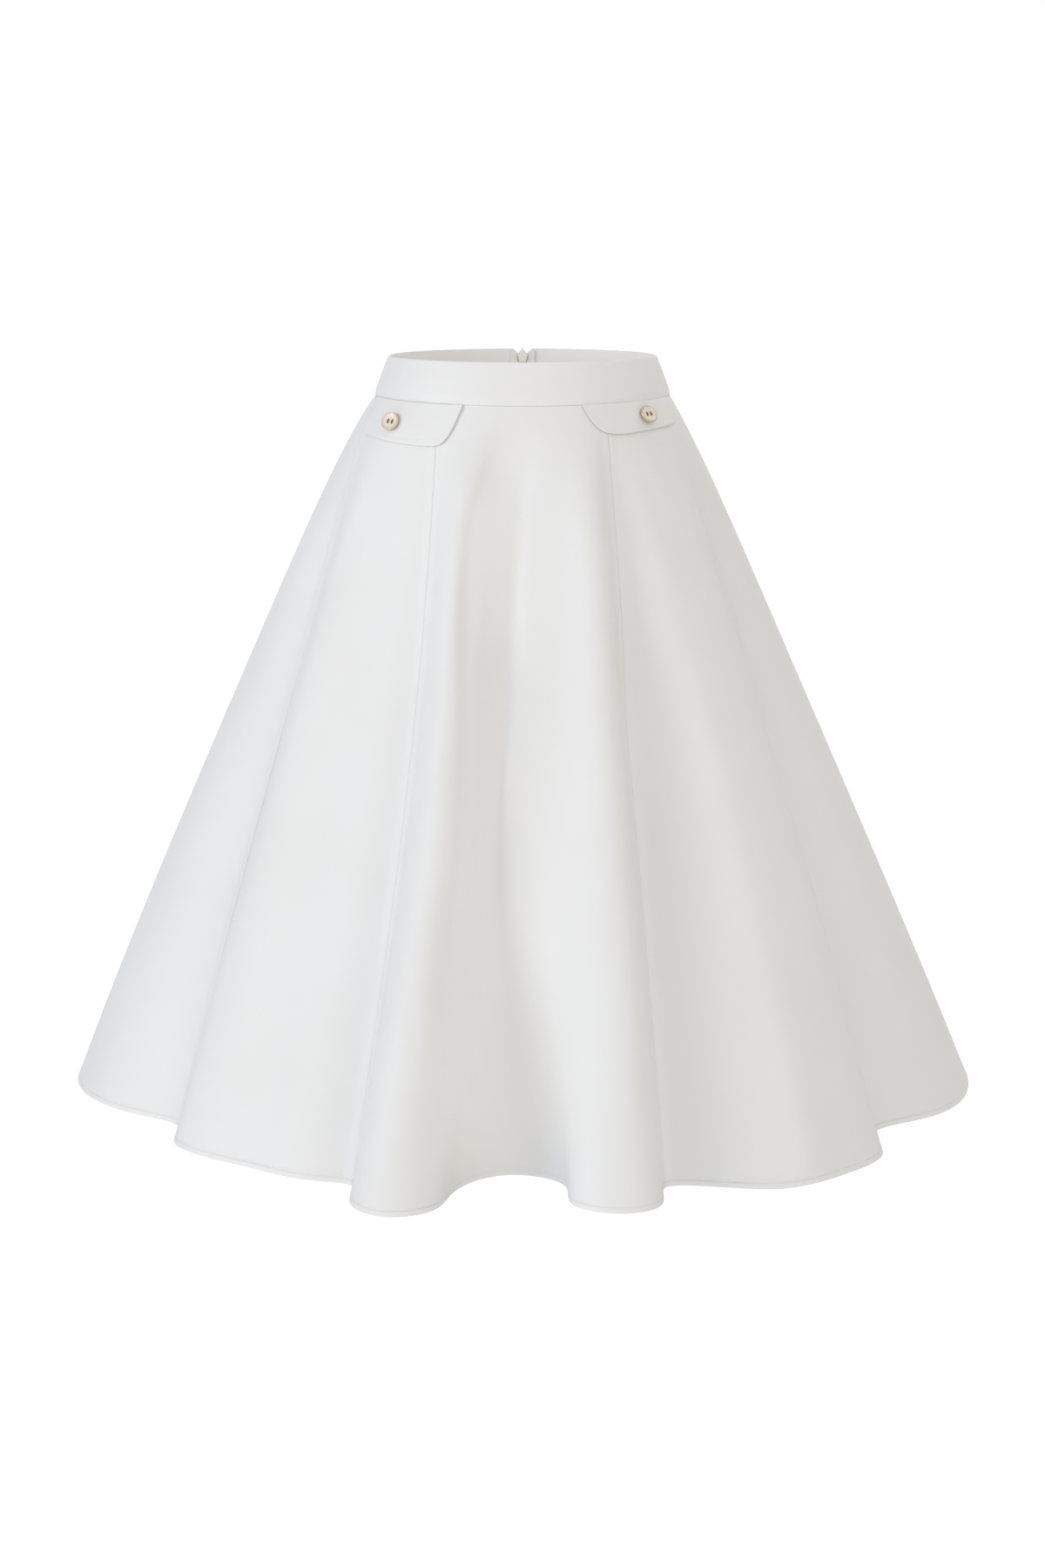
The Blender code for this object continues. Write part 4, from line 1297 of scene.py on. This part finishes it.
def zip_slider():
    """The slider: an inner and an outer plate on a core, two ears and a pin, with a flange under its rim.
    The flange is a real part, but its dark brass colour is painted shadow for the gap along the slider's
    lower edge and sides.
    """
    parts = []
    for _, low, high, across, up, rounding in SLIDER_PLATES:
        form = plate([(x * across, y * up) for x, y in SLIDER_OUTLINE], low, high)
        if rounding:
            soft_edges(form, rounding)
        parts.append(lists_of(form))
    turns = [math.radians(a) for a in range(-90, 91, 15)]
    ear = [(PIN_UP - EAR_RADIUS * math.sin(a), PIN_OUT + EAR_RADIUS * math.cos(a)) for a in turns]
    for side in (-1, 1):
        low, high = sorted((side * EAR_INSIDE, side * EAR_OUTSIDE))
        form = plate([*EAR_FEET, *ear], low, high, axis="X")
        soft_edges(form, EAR_ROUND)
        parts.append(lists_of(form))
    pin = [(-PIN_HALF_LENGTH, PIN_UP, PIN_OUT), (PIN_HALF_LENGTH, PIN_UP, PIN_OUT)]
    parts.append(tube(pin, PIN_RADIUS, 12))
    body = add_piece("zip_slider_body", joined(parts), ENAMEL, ["zip_slider"])
    body.data.set_sharp_from_angle(angle=SHARP_ANGLE)
    # Dark brass cord under the rim: a real flange whose dark colour is painted shadow along the slider's
    # edge.
    rim = [(x * FLANGE_SPREAD, y, SLIDER_PLATES[0][1]) for x, y in SLIDER_OUTLINE]
    lower_rim = [rim[-1], *rim[:3]]
    flange = add_piece("zip_slider_flange_painted_shadow", tube(lower_rim, FLANGE_RADIUS, 8), SHADOW_LINE_BRASS)
    for obj in (body, flange):
        place_piece(obj, slider_seat())


def zip_pull_tab():
    """The tab: an eye round the pin, a neck, and a drop-shaped plate."""
    end = -TAB_LENGTH + TAB_RADIUS
    turns = [math.radians(a) for a in range(-165, -14, 10)]
    outline = [(TAB_RADIUS * math.cos(a), end + TAB_RADIUS * math.sin(a)) for a in turns]
    outline += [(NECK_HALF_WIDTH, NECK_END), (NECK_HALF_WIDTH, NECK_TOP)]
    outline += [(-NECK_HALF_WIDTH, NECK_TOP), (-NECK_HALF_WIDTH, NECK_END)]
    drop = plate(outline, -TAB_HALF_THICKNESS, TAB_HALF_THICKNESS)
    soft_edges(drop, TAB_ROUND)
    section = [
        (EYE_RADIUS, -EYE_HALF_WIDTH),
        (EYE_RADIUS, EYE_HALF_WIDTH),
        (EYE_BORE, EYE_HALF_WIDTH),
        (EYE_BORE, -EYE_HALF_WIDTH),
    ]
    vertices, faces = lathe(section, 24, closed=True)
    eye = ([Vector((z, y, -x)) for x, y, z in vertices], faces)
    tab = joined([lists_of(drop), eye])
    obj = add_piece("zip_pull_tab_plate", tab, ENAMEL, ["zip_pull_tab"], "pull_tab")
    obj.data.set_sharp_from_angle(angle=SHARP_ANGLE)
    pin = Matrix.Translation((0, PIN_UP, PIN_OUT))
    place_piece(obj, slider_seat() @ pin @ Matrix.Rotation(TAB_LEAN, 4, "X"))


# Stitching

def stitch_row(points, normals, radius):
    """Short threads that lie on the cloth, one for each pair of points, dipping into it at both ends."""
    ring = STITCH_SIDES
    bends, sinks, swell = np.array(STITCH_ROWS).T
    sinks, swell = sinks * radius, swell * radius
    middles = (points[0] + points[1]) / 2
    ahead = points[1] - points[0]
    length = np.linalg.norm(ahead, axis=-1, keepdims=True)
    ahead = ahead / length
    across = np.cross(normals, ahead)
    turns = 2 * math.pi * np.arange(ring) / ring
    count, rings = len(middles), len(bends)
    centre = middles[:, None] + ahead[:, None] * (bends[None, :, None] * length[:, None])
    centre = centre + normals[:, None] * sinks[None, :, None]
    spoke = across[:, None, None] * np.cos(turns)[None, None, :, None]
    spoke = spoke + normals[:, None, None] * np.sin(turns)[None, None, :, None]
    vertices = (centre[:, :, None] + spoke * swell[None, :, None, None]).reshape(-1, 3)
    base = (np.arange(count) * rings * ring)[:, None, None]
    k = np.arange(rings - 1)[None, :, None] * ring
    m = np.arange(ring)[None, None, :]
    after = (m + 1) % ring
    quads = np.stack([base + k + m, base + k + after, base + k + ring + after, base + k + ring + m], axis=-1)
    faces = quads.reshape(-1, 4).tolist()
    start = (np.arange(count) * rings * ring)[:, None]
    faces += (start + np.arange(ring)[None, ::-1]).tolist()
    faces += (start + (rings - 1) * ring + np.arange(ring)[None]).tolist()
    return vertices, faces


def hem_stitches():
    """The row of stitches that holds the turned hem, once round the skirt."""
    count = int(HEM_LENGTH / STITCH_PITCH)
    start = np.arange(count) * HEM_LENGTH / count
    places = np.stack([start, start + STITCH_LENGTH])
    level = 1 - HEM_STITCH_HEIGHT / length_down(places, 1.0)
    height = np.full_like(places, HEM_STITCH_HEIGHT)
    lift = hem_lift(height, places) + THREAD_RADIUS * STITCH_SINK
    points = lifted(places, level, lift)
    normals = outward_normal(places.mean(axis=0), level.mean(axis=0))
    outside = stitch_row(points, normals, THREAD_RADIUS)
    points = lifted(places, level, -CLOTH - HEM_INSIDE - THREAD_RADIUS * STITCH_SINK)
    within = stitch_row(points, -normals, THREAD_RADIUS)
    add_piece("hem_stitching", joined([outside, within]), THREAD)


def make_skirt():
    for name, first, last, band, hem, length, area in PANELS:
        obj = cloth_panel(name, first, last)
    for name, start, end, notch, length, height, area in BANDS:
        obj = waistband(name, start, end, notch)
    for name, side, *seat in BUTTON_ROWS:
        flap = pocket_flap("pocket_flap_" + name, side)
        length, height, area = FLAP_CUTS[name]
        button(name, side, *seat)
        zip_tape(name, side)
    zip_coil()
    zip_slider()
    zip_pull_tab()
    hem_stitches()


# Light, floor and camera

def direction(round_from_front, up):
    return Vector((
        math.sin(round_from_front) * math.cos(up), -math.cos(round_from_front) * math.cos(up), math.sin(up)
    ))


def surround():
    """An uneven white surround: a few very broad soft patches, and white all round the horizon."""
    world = bpy.data.worlds.new("surround")
    bpy.context.scene.world = world
    world.use_nodes = True
    nodes, links = world.node_tree.nodes, world.node_tree.links

    def node(kind, operation, *inputs):
        """A node whose first inputs are linked to these sockets or set to these values."""
        made = nodes.new(kind)
        made.operation = operation
        for socket, value in zip(made.inputs, inputs):
            if isinstance(value, bpy.types.NodeSocket):
                links.new(value, socket)
            else:
                socket.default_value = value
        return made

    way = nodes.new("ShaderNodeTexCoord").outputs["Generated"]
    total = None
    for name, round_from_front, up, colour in SURROUND_ROWS:
        towards = direction(math.radians(round_from_front), math.radians(up))
        facing = node("ShaderNodeVectorMath", "DOT_PRODUCT", way, towards).outputs["Value"]
        front = node("ShaderNodeMath", "MAXIMUM", facing, 0.0).outputs["Value"]
        patch = node("ShaderNodeMath", "POWER", front, SURROUND_POWER)
        patch.name = name
        tint = node("ShaderNodeVectorMath", "SCALE", colour)
        links.new(patch.outputs["Value"], tint.inputs["Scale"])
        light = tint.outputs["Vector"]
        if total is not None:
            light = node("ShaderNodeVectorMath", "ADD", total, light).outputs["Vector"]
        total = light
    split = nodes.new("ShaderNodeSeparateXYZ")
    links.new(way, split.inputs["Vector"])
    height = node("ShaderNodeMath", "ABSOLUTE", split.outputs["Z"])
    horizon = nodes.new("ShaderNodeMapRange")
    horizon.interpolation_type = "SMOOTHSTEP"
    horizon.inputs["From Min"].default_value = HORIZON_TOP
    horizon.inputs["From Max"].default_value = HORIZON_END
    horizon.inputs["To Min"].default_value = 1.0
    horizon.inputs["To Max"].default_value = 0.0
    links.new(height.outputs["Value"], horizon.inputs["Value"])
    white = nodes.new("ShaderNodeMix")
    white.data_type = "VECTOR"
    links.new(horizon.outputs["Result"], white.inputs["Factor"])
    links.new(total, white.inputs[4])
    white.inputs[5].default_value = HORIZON_WHITE
    links.new(white.outputs[1], nodes["Background"].inputs["Color"])


def studio():
    """A pale floor under the surround, with one large soft light from the front left."""
    scene = bpy.context.scene
    scene.view_settings.view_transform = "Standard"
    floor_mesh = bpy.data.meshes.new("floor")
    form = bmesh.new()
    bmesh.ops.create_circle(form, cap_ends=True, segments=64, radius=FLOOR_RADIUS)
    form.to_mesh(floor_mesh)
    form.free()
    floor = bpy.data.objects.new("floor", floor_mesh)
    floor.location = (0, 0, FLOOR_Z)
    floor.visible_diffuse = False
    floor.visible_glossy = False
    floor.visible_shadow = False
    scene.collection.objects.link(floor)
    pale, shader = new_material("pale_floor", FLOOR_COLOUR, 0.9)
    shader.inputs["Emission Color"].default_value = (1.0, 1.0, 1.0, 1.0)
    shader.inputs["Emission Strength"].default_value = FLOOR_GLOW
    floor_mesh.materials.append(pale)
    surround()
    key = bpy.data.lights.new("key", "SUN")
    key.angle = KEY_SPREAD
    key.energy = KEY_STRENGTH
    key.color = KEY_COLOUR
    lamp = bpy.data.objects.new("key", key)
    lamp.rotation_euler = direction(KEY_ROUND, KEY_UP).to_track_quat("Z", "Y").to_euler()
    scene.collection.objects.link(lamp)


def camera():
    data = bpy.data.cameras.new("camera")
    data.sensor_fit = "AUTO"
    data.sensor_width = SENSOR
    data.lens = CAMERA_LENS
    data.clip_end = CAMERA_CLIP
    obj = bpy.data.objects.new("camera", data)
    obj.location = CAMERA_PLACE
    obj.rotation_euler = (math.pi / 2 - CAMERA_DOWN, 0, 0)
    bpy.context.scene.collection.objects.link(obj)
    bpy.context.scene.camera = obj


make_skirt()
studio()
camera()
